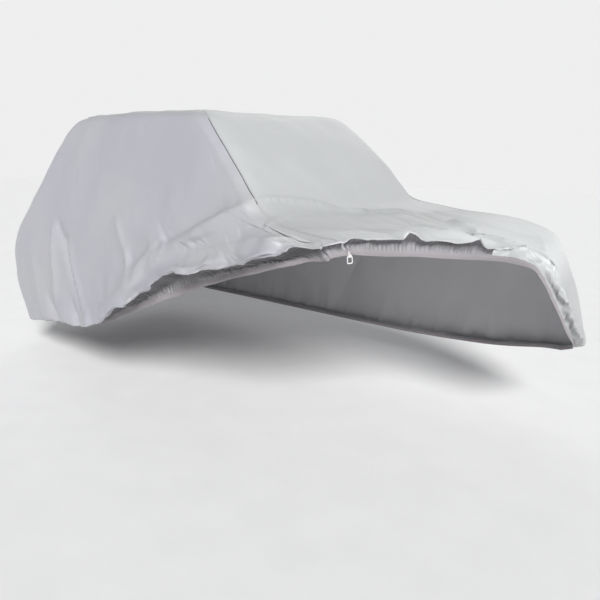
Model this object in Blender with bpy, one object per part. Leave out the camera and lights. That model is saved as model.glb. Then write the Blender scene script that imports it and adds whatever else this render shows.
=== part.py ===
"""Fitted car cover with its near side lifted, so that the elasticated hem crosses the bonnet.

Metres, +Z up, +X towards the nose, +Y towards the far side. The origin is the point under the
roof cloth where the cover is held up. Heights in the tables are above the ground.
"""

import math
from collections import namedtuple

import bpy
import numpy as np

MM = 0.001

# Driving sizes.
CLOTH = 2 * MM  # thickness of the coated cloth
BAND_CLOTH = 3 * MM  # the hem band: cloth folded over its elastic
BAND_WIDTH = 22 * MM
SEAM_GAP = 0.3 * MM  # between pieces that are sewn together
ROOF_HEIGHT = 1.372  # outside of the cloth over the middle of the roof
HELD_HEIGHT = ROOF_HEIGHT - CLOTH
NOSE_TAPER = 0.05  # part of the width lost towards the nose
TAIL_TAPER = 0.03
TAIL_BOW = 0.5  # how much the tail bows, as a part of the nose's bow
LIFT_FROM, LIFT_OVER = -0.4, 1.3  # across the width: where far_lift starts, and how soon it is whole
CROWN = 0.6  # power of the roof's crown: lower is flatter in the middle

# How finely each part of the cover is divided.
LONG_COLUMNS = 34  # along each long side
WIDE_COLUMNS = 20  # across the nose and across the tail
LIP_ROWS = (0.45, 0.75, 1.0)  # rows from the hem band to the lip, as parts of that way
OVER_LIP = 1.3  # the row over the lip, as a part of its distance from the hem
ABOVE_LIP_ROWS = (0.0, 45 * MM, 100 * MM, 170 * MM)
SIDE_ROWS = 7  # from there up to the roof seam
SHOULDER_ROWS = 2  # from the roof seam to the flat of the roof
CROWDING = 0.5  # how much closer the columns stand at the middle and corners of nose and tail
MERIDIAN_STEPS = 90
HEM_STEP = 0.01
NORMAL_SPREAD = (-0.10, -0.05, 0.0, 0.05, 0.10)  # of a side's length
LEAST_SINE = 0.4  # of the angle at which a column is taken to meet the hem

# The loose outer form, one row for each level. Nose and tail are at the middle of the car.
# Half is the half width, bow how far the nose corners lie behind its middle, and far_lift
# how much higher the slack cloth stands on the far side.
Level = namedtuple("Level", "height nose tail half nose_r tail_r bow far_lift")
LEVELS = (
    Level(0.100, 1.75, -1.11, 0.600, 0.20, 0.16, 0.03, 0.000),
    Level(0.200, 1.83, -1.14, 0.665, 0.20, 0.17, 0.04, 0.000),
    Level(0.320, 1.86, -1.155, 0.700, 0.20, 0.18, 0.05, 0.000),
    Level(0.450, 1.865, -1.165, 0.715, 0.20, 0.19, 0.05, 0.000),
    Level(0.580, 1.832, -1.17, 0.715, 0.20, 0.20, 0.06, 0.010),
    Level(0.680, 1.790, -1.145, 0.705, 0.20, 0.20, 0.07, 0.020),
    Level(0.750, 1.755, -1.11, 0.695, 0.20, 0.20, 0.08, 0.032),
    Level(0.800, 1.710, -1.065, 0.688, 0.19, 0.20, 0.08, 0.060),
    Level(0.840, 1.590, -1.035, 0.680, 0.18, 0.20, 0.09, 0.070),
    Level(0.875, 1.39, -1.01, 0.670, 0.17, 0.20, 0.10, 0.057),
    Level(0.910, 1.20, -0.99, 0.660, 0.16, 0.20, 0.10, 0.038),
    Level(0.945, 1.03, -0.96, 0.650, 0.16, 0.20, 0.11, 0.030),
    Level(1.000, 0.945, -0.915, 0.632, 0.16, 0.20, 0.10, 0.042),
    Level(1.100, 0.83, -0.84, 0.605, 0.16, 0.20, 0.09, 0.062),
    Level(1.200, 0.72, -0.755, 0.580, 0.16, 0.20, 0.09, 0.054),
    Level(1.270, 0.63, -0.69, 0.560, 0.15, 0.20, 0.08, 0.050),
    Level(1.315, 0.56, -0.62, 0.535, 0.15, 0.20, 0.07, 0.049),
    Level(1.343, 0.47, -0.52, 0.485, 0.15, 0.20, 0.05, 0.041),
)
TOP_LEVEL = len(LEVELS) - 1.0
ROOF_SEAM_LEVEL = 16.0  # the row above where the roof panel meets the side panels
GLASS_ROW = 11  # the row, at the foot of the windscreen, where the windscreen cloth begins

# The cover's four sides in the order in which they follow each other round it.
SIDES = ("near", "nose", "far", "tail")
COLUMNS = {"near": LONG_COLUMNS, "nose": WIDE_COLUMNS, "far": LONG_COLUMNS, "tail": WIDE_COLUMNS}

# The runs of the hem band, each with the column that it ends before: one on each side, and a
# joint where the hem turns from across the bonnet to down the nose.
BAND_RUNS = (
    ("hem_band_near", LONG_COLUMNS - 2),
    ("hem_band_bonnet", LONG_COLUMNS + 11),
    ("hem_band_nose", LONG_COLUMNS + WIDE_COLUMNS + 2),
    ("hem_band_far", 2 * LONG_COLUMNS + WIDE_COLUMNS),
    ("hem_band_tail", 2 * (LONG_COLUMNS + WIDE_COLUMNS)),
)

# The hem, one row for each place round the cover. Along runs from 0 to 1 on each side.
# Height is the level that the hem reaches, sink how far it is drawn in from the loose form,
# lip how far above it the cloth hangs out again, and puff how far out the lip stands.
Hem = namedtuple("Hem", "side along height sink lip puff")
HEM = (
    Hem("near", 0.00, 0.125, 0.020, 0.060, 0.006),
    Hem("near", 0.15, 0.215, 0.020, 0.060, 0.006),
    Hem("near", 0.28, 0.275, 0.022, 0.050, 0.008),
    Hem("near", 0.36, 0.350, 0.027, 0.045, 0.014),
    Hem("near", 0.44, 0.455, 0.032, 0.045, 0.020),
    Hem("near", 0.53, 0.560, 0.034, 0.050, 0.022),
    Hem("near", 0.61, 0.652, 0.036, 0.050, 0.022),
    Hem("near", 0.69, 0.726, 0.037, 0.045, 0.018),
    Hem("near", 0.82, 0.820, 0.042, 0.045, 0.014),
    Hem("near", 0.91, 0.852, 0.040, 0.050, 0.014),
    Hem("near", 0.97, 0.870, 0.036, 0.058, 0.014),
    Hem("nose", 0.05, 0.884, 0.044, 0.072, 0.014),
    Hem("nose", 0.18, 0.880, 0.055, 0.090, 0.014),
    Hem("nose", 0.36, 0.860, 0.052, 0.085, 0.012),
    Hem("nose", 0.45, 0.838, 0.044, 0.075, 0.010),
    Hem("nose", 0.49, 0.806, 0.036, 0.065, 0.008),
    Hem("nose", 0.52, 0.736, 0.032, 0.060, 0.006),
    Hem("nose", 0.55, 0.657, 0.030, 0.060, 0.006),
    Hem("nose", 0.59, 0.585, 0.030, 0.060, 0.006),
    Hem("nose", 0.65, 0.510, 0.030, 0.060, 0.006),
    Hem("nose", 0.80, 0.415, 0.030, 0.060, 0.006),
    Hem("nose", 0.96, 0.335, 0.030, 0.055, 0.006),
    Hem("far", 0.14, 0.240, 0.025, 0.050, 0.006),
    Hem("far", 0.34, 0.200, 0.022, 0.050, 0.006),
    Hem("far", 0.90, 0.175, 0.020, 0.050, 0.006),
    Hem("tail", 0.20, 0.160, 0.020, 0.055, 0.006),
    Hem("tail", 0.80, 0.130, 0.020, 0.060, 0.006),
)

# Folds as soft ridges, or troughs where the rise is negative, between two places on the form.
Fold = namedtuple("Fold", "name x0 y0 height0 x1 y1 height1 width rise")
FOLDS = (
    Fold("long crease", 0.73, -0.63, 0.93, 0.28, -0.70, 0.70, 0.050, 0.014),
    Fold("over the long crease", 0.62, -0.64, 0.99, 0.18, -0.69, 0.80, 0.050, -0.012),
    Fold("tail corner ridge", -0.52, -0.69, 0.74, -0.42, -0.70, 0.33, 0.045, 0.016),
    Fold("tail corner trough", -0.40, -0.69, 0.76, -0.27, -0.70, 0.36, 0.045, -0.014),
    Fold("tail soft ridge", -0.76, -0.68, 0.62, -0.70, -0.68, 0.26, 0.050, 0.010),
    Fold("door fold", 0.05, -0.68, 0.88, 0.16, -0.70, 0.66, 0.045, 0.012),
    Fold("belly", 0.36, -0.69, 0.80, 0.10, -0.71, 0.50, 0.060, 0.014),
    Fold("low trough", 0.30, -0.71, 0.60, 0.56, -0.70, 0.72, 0.045, -0.012),
    Fold("shoulder ridge", 0.89, -0.66, 0.86, 1.15, -0.55, 0.90, 0.050, 0.010),
    Fold("recess", 1.38, -0.24, 0.88, 1.44, -0.12, 0.87, 0.070, -0.010),
    Fold("brow of the recess", 1.24, -0.22, 0.90, 1.33, 0.00, 0.89, 0.060, 0.010),
    Fold("fold tip", 1.32, 0.14, 0.91, 1.46, 0.07, 0.88, 0.055, 0.016),
    Fold("under the fold tip", 1.46, 0.07, 0.88, 1.54, -0.09, 0.85, 0.050, 0.012),
    Fold("upper nose fold", 1.64, 0.26, 0.86, 1.72, -0.02, 0.79, 0.050, 0.008),
    Fold("middle nose fold", 1.79, 0.20, 0.76, 1.81, -0.02, 0.71, 0.045, 0.008),
    Fold("lower nose fold", 1.83, 0.28, 0.60, 1.83, 0.04, 0.56, 0.045, 0.009),
)
RIPPLE = 3 * MM  # unevenness of the gathered cloth at the hem
LIP_FADE = 0.22  # distance from the hem at which the lip has died out
LIP_SAG = 0.4  # how far the lip sags, as a part of its puff

# The clip that hangs on the hem by a folded webbing tab. Heights are from the hem's edge.
CLIP_COLUMN = 0  # the column of the nose side in which it hangs
CLIP_WIDTH = 22 * MM
CLIP_HEIGHT = 27 * MM
CLIP_THICK = 4 * MM
CLIP_BAR = 4 * MM  # over and under the slot
CLIP_RIM = 3 * MM  # beside it
CLIP_TOP = -2 * MM
CLIP_ROUND = 4 * MM
SLOT_ROUND = 0.5 * MM
TAB_WIDTH = 15 * MM
TAB_THICK = 1.6 * MM
TAB_HEIGHT = 14 * MM
TAB_CLOSING = 6 * MM  # over the clip, where the tab's two plies come together
CLIP_LOW = TAB_THICK + 2 * SEAM_GAP  # the clip's back, out from the hem band

COLOURS = {
    "side": (0.50, 0.50, 0.56, 1.0),
    "centre": (0.60, 0.61, 0.62, 1.0),
    "band": (0.46, 0.43, 0.45, 1.0),
    "clip": (0.78, 0.78, 0.77, 1.0),
}
ROUGHNESS = 0.45


def smooth(value):
    """0 below 0, 1 above 1, and an S curve between them."""
    value = np.clip(value, 0.0, 1.0)
    return value * value * (3.0 - 2.0 * value)


def curve_through(places, values, wanted):
    """Values of a smooth curve through the points, which doesn't overshoot them."""
    places = np.asarray(places, float)
    values = np.asarray(values, float)
    steps = np.diff(places)[:, None]
    slopes = np.diff(values, axis=0) / steps
    product = slopes[:-1] * slopes[1:]
    total = slopes[:-1] + slopes[1:]
    inner = np.where(product > 0, 2 * product / np.where(product > 0, total, 1.0), 0.0)
    tangents = np.vstack([slopes[:1], inner, slopes[-1:]])
    wanted = np.asarray(wanted, float)
    index = np.clip(np.searchsorted(places, wanted, side="right") - 1, 0, len(places) - 2)
    step = steps[index]
    part = (wanted[..., None] - places[index][..., None]) / step
    square = part * part
    cube = square * part
    return (
        (2 * cube - 3 * square + 1) * values[index]
        + (cube - 2 * square + part) * step * tangents[index]
        + (3 * square - 2 * cube) * values[index + 1]
        + (cube - square) * step * tangents[index + 1]
    )


def level_at(level):
    """The columns of the LEVELS table at a level, which may lie between two of its rows."""
    level = np.clip(level, 0.0, TOP_LEVEL)
    found = curve_through(np.arange(len(LEVELS)), LEVELS, level)
    return Level(*np.moveaxis(found, -1, 0))


def level_of_height(height):
    heights = [row.height for row in LEVELS]
    return np.interp(height, heights, np.arange(len(heights)))


def hem_at(side, along):
    """Level, sink, lip and puff of the hem at a place round the cover."""
    places = [SIDES.index(row.side) + row.along for row in HEM]
    values = [(row.height, row.sink, row.lip, row.puff) for row in HEM]
    round_again = [place + len(SIDES) for place in places]
    place = SIDES.index(side) + np.asarray(along, float)
    found = curve_through(places + round_again, values + values, place)
    return np.moveaxis(found, -1, 0)


def rounded_run(along, first_r, length, last_r):
    """Half an arc, a straight stretch and half an arc: how far along it and how far in."""
    first = first_r * math.pi / 4
    straight = length - first_r - last_r
    last = last_r * math.pi / 4
    distance = along * (first + straight + last)
    first_turn = np.clip((first - distance) / first_r, 0.0, math.pi / 4)
    last_turn = np.clip((distance - first - straight) / last_r, 0.0, math.pi / 4)
    middle = np.clip(distance - first, 0.0, straight)
    forward = first_r * (1 - np.sin(first_turn)) + middle + last_r * np.sin(last_turn)
    inward = first_r * (1 - np.cos(first_turn)) + last_r * (1 - np.cos(last_turn))
    return forward, inward


def form_point(side, along, level):
    """A point of the loose outer form, without the hem's gathers and the folds."""
    row = level_at(level)
    length = row.nose - row.tail
    if side == "near":
        forward, inward = rounded_run(along, row.tail_r, length, row.nose_r)
        x, y = row.tail + forward, inward - row.half
    elif side == "nose":
        forward, inward = rounded_run(along, row.nose_r, 2 * row.half, row.nose_r)
        x, y = row.nose - inward, forward - row.half
    elif side == "far":
        forward, inward = rounded_run(along, row.nose_r, length, row.tail_r)
        x, y = row.nose - forward, row.half - inward
    else:
        forward, inward = rounded_run(along, row.tail_r, 2 * row.half, row.tail_r)
        x, y = row.tail + inward, row.half - forward
    across = y / row.half
    lengthways = (x - (row.nose + row.tail) / 2) / (length / 2)
    towards_nose = np.clip(lengthways, 0.0, 1.0) ** 2
    towards_tail = np.clip(-lengthways, 0.0, 1.0) ** 2
    x = x + row.bow * across**2 * (TAIL_BOW * towards_tail - towards_nose)
    y = y * (1 - NOSE_TAPER * towards_nose - TAIL_TAPER * towards_tail)
    height = row.height + row.far_lift * smooth((across - LIFT_FROM) / LIFT_OVER)
    return np.stack([x, y, height - HELD_HEIGHT], axis=-1)


def unit(vectors):
    return vectors / np.linalg.norm(vectors, axis=-1, keepdims=True)


def form_axes(side, along, level):
    """The outward normal of the form and its direction down towards the hem."""
    step = 1e-3
    level = np.clip(level, step, TOP_LEVEL - step)
    along = np.clip(along, step, 1 - step)
    round_it = form_point(side, along + step, level) - form_point(side, along - step, level)
    upwards = form_point(side, along, level + step) - form_point(side, along, level - step)
    return unit(np.cross(round_it, upwards)), -unit(upwards)


def spread_normals(side, along, levels):
    """Outward normals evened out round the cover, for a hem that turns softly at the corners."""
    total = np.zeros((len(levels), 3))
    for offset in NORMAL_SPREAD:
        place = SIDES.index(side) + along + offset
        whole = math.floor(place)
        beside = SIDES[whole % len(SIDES)]
        normals, _ = form_axes(beside, np.full(len(levels), place - whole), levels)
        total += normals
    return unit(total)


def hem_slant(side, along):
    """How many times longer the way up a column is than the way square to the hem."""
    beside = np.clip([along - HEM_STEP, along + HEM_STEP], 0.0, 1.0)
    first, second = form_point(side, beside, level_of_height(hem_at(side, beside)[0]))
    _, down = form_axes(side, np.array([along]), level_of_height(hem_at(side, along)[:1]))
    sine = np.linalg.norm(np.cross(unit(second - first), down[0]))
    return 1 / max(sine, LEAST_SINE)


def levels_at_distances(side, along, distances, fractions):
    """Levels at distances up from the hem, then at parts of the way on to the roof seam."""
    hem_level = level_of_height(hem_at(side, along)[0])
    levels = np.linspace(hem_level, ROOF_SEAM_LEVEL, MERIDIAN_STEPS)
    points = form_point(side, along, levels)
    lengths = np.linalg.norm(np.diff(points, axis=0), axis=1)
    travelled = np.concatenate([[0.0], np.cumsum(lengths)])
    last = distances[-1]
    wanted = np.concatenate([distances, last + (travelled[-1] - last) * fractions])
    return np.interp(wanted, travelled, levels), wanted


def fold_rise(points):
    """How far the folds push each point outwards."""
    rise = np.zeros(len(points))
    for fold in FOLDS:
        start = np.array([fold.x0, fold.y0, fold.height0 - HELD_HEIGHT])
        end = np.array([fold.x1, fold.y1, fold.height1 - HELD_HEIGHT])
        part = np.clip((points - start) @ (end - start) / np.sum((end - start) ** 2), 0.0, 1.0)
        distance = np.linalg.norm(points - start - part[:, None] * (end - start), axis=1)
        fading = 0.5 + 0.5 * np.sin(math.pi * part)
        rise += fold.rise * fading * np.exp(-((distance / fold.width) ** 2))
    return rise


def column_points(side, along, column):
    """Points of the cloth in one column, from the hem up to the flat of the roof.

    On a wall the lip hangs out over a hem that lies against it. Where the hem crosses a flat
    part, such as the bonnet, the cloth under the lip stands upright on its hem.
    """
    _, sink, lip, puff = hem_at(side, along)
    slant = hem_slant(side, along)
    under_lip = [BAND_WIDTH + part * (lip - BAND_WIDTH) for part in LIP_ROWS]
    over_lip = [OVER_LIP * lip + more for more in ABOVE_LIP_ROWS]
    from_hem = np.array([0.0, BAND_WIDTH] + under_lip + over_lip)
    slanting = (slant - 1) * np.minimum(from_hem, OVER_LIP * lip)
    fractions = np.arange(1, SIDE_ROWS + 1) / SIDE_ROWS
    levels, travelled = levels_at_distances(side, along, from_hem + slanting, fractions)
    from_hem = np.concatenate([from_hem, travelled[len(from_hem) :] - slanting[-1]])
    shoulder = np.linspace(ROOF_SEAM_LEVEL, TOP_LEVEL, SHOULDER_ROWS + 1)[1:]
    levels = np.concatenate([levels, shoulder])
    from_hem = np.concatenate([from_hem, np.full(SHOULDER_ROWS, from_hem[-1])])
    points = form_point(side, np.full(len(levels), along), levels)
    normals = spread_normals(side, along, levels)
    _, down = form_axes(side, np.full(len(levels), along), levels)
    upright = np.clip(normals[0][2], 0.0, 1.0) ** 2
    tucked = smooth((from_hem - BAND_WIDTH) / (lip - BAND_WIDTH))
    standing = np.interp(from_hem, (0.0, BAND_WIDTH, lip), (0.0, BAND_WIDTH / sink, 1.0))
    risen = tucked + upright * (standing - tucked)
    fading = 1 - smooth((from_hem - lip) / (LIP_FADE - lip))
    hanging = tucked * fading
    wave = (1 if column % 2 else -1) * RIPPLE * hanging
    out = puff * hanging - sink * (1 - risen) + wave + fold_rise(points) * tucked
    over_hem = upright * slant * np.minimum(from_hem, lip) * fading
    forward = over_hem + LIP_SAG * puff * hanging
    return points + out[:, None] * normals + forward[:, None] * down


def column_along(side, column):
    """Where a column stands on its side, from 0 to 1."""
    along = column / COLUMNS[side]
    crowding = CROWDING if side in ("nose", "tail") else 0.0
    return along - crowding * math.sin(4 * math.pi * along) / (4 * math.pi)


def skirt_points():
    """The grid of the cloth round the car: columns, rows, coordinates."""
    columns = []
    for side in SIDES:
        for column in range(COLUMNS[side]):
            columns.append(column_points(side, column_along(side, column), column))
    return np.array(columns)


def roof_points(top):
    """The grid of the roof, spanned between the four runs of the skirt's top row."""
    long, wide = LONG_COLUMNS, WIDE_COLUMNS
    top = np.concatenate([top, top[:1]])
    near = top[: long + 1]
    nose = top[long : long + wide + 1]
    far = top[long + wide : 2 * long + wide + 1][::-1]
    tail = top[2 * long + wide :][::-1]
    u = np.linspace(0.0, 1.0, long + 1)[:, None, None]
    v = np.linspace(0.0, 1.0, wide + 1)[None, :, None]
    across = (1 - v) * near[:, None] + v * far[:, None]
    lengthways = (1 - u) * tail[None] + u * nose[None]
    corners = (1 - u) * ((1 - v) * near[0] + v * far[0]) + u * ((1 - v) * near[-1] + v * far[-1])
    grid = across + lengthways - corners
    bump = (1 - (2 * u - 1) ** 2) * (1 - (2 * v - 1) ** 2)
    rise = ROOF_HEIGHT - HELD_HEIGHT - grid[long // 2, wide // 2, 2]
    grid[:, :, 2] += rise * bump[:, :, 0] ** CROWN
    return grid


class Surface:
    """The whole cloth as one welded grid, from which each panel takes its faces."""

    def __init__(self):
        skirt = skirt_points()
        self.rows = skirt.shape[1]
        self.columns = skirt.shape[0]
        roof = roof_points(skirt[:, -1])
        inner = roof[1:-1, 1:-1]
        self.points = np.concatenate([skirt.reshape(-1, 3), inner.reshape(-1, 3)])
        self.faces = self.skirt_faces() + self.roof_faces()
        self.normals = self.vertex_normals()

    def skirt_index(self, column, row):
        return (column % self.columns) * self.rows + row

    def roof_index(self, place, across):
        """The vertex at a place of the roof grid, which on its rim belongs to the skirt."""
        long, wide = LONG_COLUMNS, WIDE_COLUMNS
        last = self.rows - 1
        if across == 0:
            return self.skirt_index(place, last)
        if place == long:
            return self.skirt_index(long + across, last)
        if across == wide:
            return self.skirt_index(2 * long + wide - place, last)
        if place == 0:
            return self.skirt_index(2 * (long + wide) - across, last)
        return self.columns * self.rows + (place - 1) * (wide - 1) + across - 1

    def skirt_faces(self):
        faces = []
        for column in range(self.columns):
            for row in range(self.rows - 1):
                corners = ((column, row), (column + 1, row), (column + 1, row + 1), (column, row + 1))
                indices = tuple(self.skirt_index(*corner) for corner in corners)
                faces.append((self.panel_of(column, row), indices))
        return faces

    def roof_faces(self):
        faces = []
        for place in range(LONG_COLUMNS):
            for across in range(WIDE_COLUMNS):
                corners = (
                    (place, across),
                    (place + 1, across),
                    (place + 1, across + 1),
                    (place, across + 1),
                )
                indices = tuple(self.roof_index(*corner) for corner in corners)
                faces.append(("roof_panel", indices))
        return faces

    def panel_of(self, column, row):
        """The name of the piece that a face of the skirt belongs to."""
        if row == 0:
            return next(name for name, end in BAND_RUNS if column < end)
        if row >= self.rows - 1 - SHOULDER_ROWS:
            return "roof_panel"
        if column < LONG_COLUMNS:
            return "near_side_panel"
        if column < LONG_COLUMNS + WIDE_COLUMNS:
            return "windscreen_panel" if row >= GLASS_ROW else "bonnet_panel"
        if column < 2 * LONG_COLUMNS + WIDE_COLUMNS:
            return "far_side_panel"
        return "tail_panel"

    def vertex_normals(self):
        quads = np.array([indices for _, indices in self.faces])
        corners = self.points[quads]
        area = np.cross(corners[:, 2] - corners[:, 0], corners[:, 3] - corners[:, 1])
        normals = np.zeros_like(self.points)
        for corner in range(4):
            np.add.at(normals, quads[:, corner], area)
        return unit(normals)


def rim_edges(quads):
    """The directed edges that only one face of a piece has."""
    edges = [(quad[i], quad[(i + 1) % 4]) for quad in quads for i in range(4)]
    both_ways = set(edges)
    return [edge for edge in edges if edge[::-1] not in both_ways]


def seam_shift(surface, rim):
    """Moves a piece's rim inwards on its own cloth by half the gap that seams keep."""
    inwards = {}
    for first, second in rim:
        along = unit(surface.points[second] - surface.points[first])
        normal = unit(surface.normals[first] + surface.normals[second])
        for vertex in (first, second):
            inwards.setdefault(vertex, []).append(unit(np.cross(normal, along)))
    moved = {}
    for vertex, directions in inwards.items():
        mitre = sum(directions)
        mitre = mitre * len(directions) / (mitre @ mitre)
        moved[vertex] = surface.points[vertex] + mitre * SEAM_GAP / 2
    return moved


def halves(quad, points):
    """The two triangles of a quad, cut across its shorter way, the same on both faces of the cloth."""
    a, b, c, d = quad
    if np.linalg.norm(points[a] - points[c]) <= np.linalg.norm(points[b] - points[d]):
        return [a, b, c], [a, c, d]
    return [a, b, d], [b, c, d]


def cloth_shell(name, surface, thickness, colour):
    """A closed shell of cloth from one piece's faces, thickened inwards."""
    quads = [indices for panel, indices in surface.faces if panel == name]
    rim = rim_edges(quads)
    moved = seam_shift(surface, rim)
    used = sorted({vertex for quad in quads for vertex in quad})
    place = {vertex: i for i, vertex in enumerate(used)}
    outside = np.array([moved.get(vertex, surface.points[vertex]) for vertex in used])
    inside = outside - thickness * surface.normals[used]
    count = len(used)
    faces = []
    for quad in quads:
        for outer in halves([place[vertex] for vertex in quad], outside):
            faces.append(outer)
            faces.append([count + i for i in reversed(outer)])
    for first, second in rim:
        a, b = place[first], place[second]
        faces.append([b, a, count + a, count + b])
    return add_mesh(name, np.concatenate([outside, inside]), faces, colour)


def make_material(name):
    material = bpy.data.materials.get(name)
    if material is None:
        material = bpy.data.materials.new(name)
        material.use_nodes = True
        shader = material.node_tree.nodes["Principled BSDF"]
        shader.inputs["Base Color"].default_value = COLOURS[name]
        shader.inputs["Roughness"].default_value = ROUGHNESS
        shader.inputs["Metallic"].default_value = 0.0
    return material


def add_mesh(name, points, faces, colour):
    mesh = bpy.data.meshes.new(name)
    mesh.from_pydata([tuple(point) for point in points], [], faces)
    mesh.update()
    mesh.shade_smooth()
    mesh.materials.append(make_material(colour))
    piece = bpy.data.objects.new(name, mesh)
    bpy.context.scene.collection.objects.link(piece)
    return piece


def clip_frame(surface):
    """Origin on the hem's edge, then the ways across the clip, up the cloth and out of it."""
    column = LONG_COLUMNS + CLIP_COLUMN
    corners = [surface.skirt_index(column + i, j) for j in (0, 1) for i in (0, 1)]
    first, second, upper_first, upper_second = surface.points[corners]
    origin = (first + second) / 2
    across = unit(second - first)
    upwards = (upper_first + upper_second) / 2 - origin
    normal = unit(np.cross(across, upwards))
    proud = max((surface.points[corners] - origin) @ normal)
    return origin + proud * normal, across, np.cross(normal, across), normal


def rounded_rectangle(half_width, bottom, top, radius, steps=3):
    """Corner points of a rectangle with round corners, anticlockwise."""
    middles = (
        (half_width - radius, top - radius, 0.0),
        (radius - half_width, top - radius, 0.5 * math.pi),
        (radius - half_width, bottom + radius, math.pi),
        (half_width - radius, bottom + radius, 1.5 * math.pi),
    )
    points = []
    for across, up, start in middles:
        for i in range(steps + 1):
            turn = start + 0.5 * math.pi * i / steps
            points.append((across + radius * math.cos(turn), up + radius * math.sin(turn)))
    return points


def build_clip(frame):
    """The plastic loop under the hem, with the slot that a strap is put through."""
    origin, across, up, normal = frame
    half = CLIP_WIDTH / 2
    bottom = CLIP_TOP - CLIP_HEIGHT
    outer = rounded_rectangle(half, bottom, CLIP_TOP, CLIP_ROUND)
    slot = rounded_rectangle(half - CLIP_RIM, bottom + CLIP_BAR, CLIP_TOP - CLIP_BAR, SLOT_ROUND)
    points = []
    for out in (CLIP_LOW, CLIP_LOW + CLIP_THICK):
        points += [origin + a * across + u * up + out * normal for a, u in outer + slot]
    count = len(outer)
    faces = []
    for i in range(count):
        j = (i + 1) % count
        low_i, low_j, low_slot_i, low_slot_j = i, j, count + i, count + j
        high_i, high_j, high_slot_i, high_slot_j = (2 * count + k for k in (i, j, count + i, count + j))
        faces.append((high_i, high_j, high_slot_j, high_slot_i))
        faces.append((low_slot_i, low_slot_j, low_j, low_i))
        faces.append((low_i, low_j, high_j, high_i))
        faces.append((low_slot_j, low_slot_i, high_slot_i, high_slot_j))
    return add_mesh("clip_loop", points, faces, "clip")


def strip_outline(route, thickness):
    """The outline of a strip seen edge on, anticlockwise, with mitred corners."""
    route = np.array(route)
    along = unit(np.diff(route, axis=0))
    sideways = np.stack([-along[:, 1], along[:, 0]], axis=1)
    before = np.vstack([sideways[:1], sideways])
    after = np.vstack([sideways, sideways[-1:]])
    mitre = before + after
    mitre *= (2 / np.sum(mitre**2, axis=1))[:, None]
    left = route + mitre * thickness / 2
    right = route - mitre * thickness / 2
    return np.concatenate([right, left[::-1]])


def build_tab(frame):
    """The webbing tab sewn on the hem band, which is folded round the top bar of the clip."""
    origin, across, up, normal = frame
    middle = TAB_THICK / 2
    behind = SEAM_GAP + middle
    before = CLIP_LOW + CLIP_THICK + SEAM_GAP + middle
    through_slot = CLIP_TOP - CLIP_BAR - SEAM_GAP - middle
    doubled = behind + TAB_THICK + SEAM_GAP
    route = (
        (TAB_HEIGHT, behind),
        (through_slot, behind),
        (through_slot, before),
        (CLIP_TOP + SEAM_GAP, before),
        (CLIP_TOP + TAB_CLOSING, doubled),
        (TAB_HEIGHT, doubled),
    )
    outline = strip_outline(route, TAB_THICK)
    points = []
    for half in (-TAB_WIDTH / 2, TAB_WIDTH / 2):
        points += [origin + half * across + u * up + out * normal for u, out in outline]
    count = len(outline)
    faces = [list(reversed(range(count))), [count + i for i in range(count)]]
    for i in range(count):
        j = (i + 1) % count
        faces.append([i, j, count + j, count + i])
    return add_mesh("webbing_tab", points, faces, "band")


def main():
    for piece in list(bpy.data.objects):
        bpy.data.objects.remove(piece, do_unlink=True)
    surface = Surface()
    for name in ("roof_panel", "windscreen_panel", "bonnet_panel", "tail_panel"):
        cloth_shell(name, surface, CLOTH, "centre")
    for name in ("near_side_panel", "far_side_panel"):
        cloth_shell(name, surface, CLOTH, "side")
    for name, _ in BAND_RUNS:
        cloth_shell(name, surface, BAND_CLOTH, "band")
    frame = clip_frame(surface)
    build_clip(frame)
    build_tab(frame)


if __name__ == "__main__":
    main()
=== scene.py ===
"""Dressed car cover: folded cloth, gathered hem, seams, stitches, webbing and clip.

Metres, +X towards the nose, +Y towards the far side, +Z up. The origin is the point under the
roof cloth where the cover is held up. Heights in the tables are above the ground.
"""

import logging
import math
from dataclasses import dataclass, field
from enum import Enum
from typing import NamedTuple, Sequence

import bpy
import numpy as np
from mathutils import Matrix


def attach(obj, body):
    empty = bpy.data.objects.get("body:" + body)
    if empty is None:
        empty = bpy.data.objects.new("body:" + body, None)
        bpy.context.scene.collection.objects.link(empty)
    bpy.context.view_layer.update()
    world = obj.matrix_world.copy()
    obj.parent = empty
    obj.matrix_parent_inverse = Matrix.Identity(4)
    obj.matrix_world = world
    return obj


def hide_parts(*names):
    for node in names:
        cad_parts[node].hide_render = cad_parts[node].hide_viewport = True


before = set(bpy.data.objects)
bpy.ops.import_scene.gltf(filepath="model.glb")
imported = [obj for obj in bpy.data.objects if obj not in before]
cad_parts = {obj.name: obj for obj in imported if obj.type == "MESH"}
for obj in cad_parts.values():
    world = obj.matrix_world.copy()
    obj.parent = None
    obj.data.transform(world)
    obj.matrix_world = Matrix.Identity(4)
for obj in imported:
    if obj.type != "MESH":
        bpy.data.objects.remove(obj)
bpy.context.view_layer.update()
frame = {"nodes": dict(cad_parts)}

LOG = logging.getLogger("car_cover")
MM = 0.001
HELD_HEIGHT = 1.370  # of the origin above the ground
BAND_WIDTH = 22 * MM
CLOTH = 1.2 * MM
SHARP_FROM = math.radians(62)
WAVE_SCALE = math.pi / 10  # a wave texture's scale at which one wave is a metre long
Array = np.ndarray


def smooth(value: Array) -> Array:
    """An S curve that is 0 below 0 and 1 above 1."""
    value = np.clip(value, 0.0, 1.0)
    return value * value * (3.0 - 2.0 * value)


class Ramp(NamedTuple):
    """An S curve that rises from 0 to 1, from a start and over a length."""

    start: float
    over: float

    def at(self, value: Array) -> Array:
        """The curve's height at a value."""
        return smooth((value - self.start) / self.over)


def unit(vectors: Array) -> Array:
    """The vectors at length 1."""
    return vectors / np.linalg.norm(vectors, axis=-1, keepdims=True)


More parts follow.
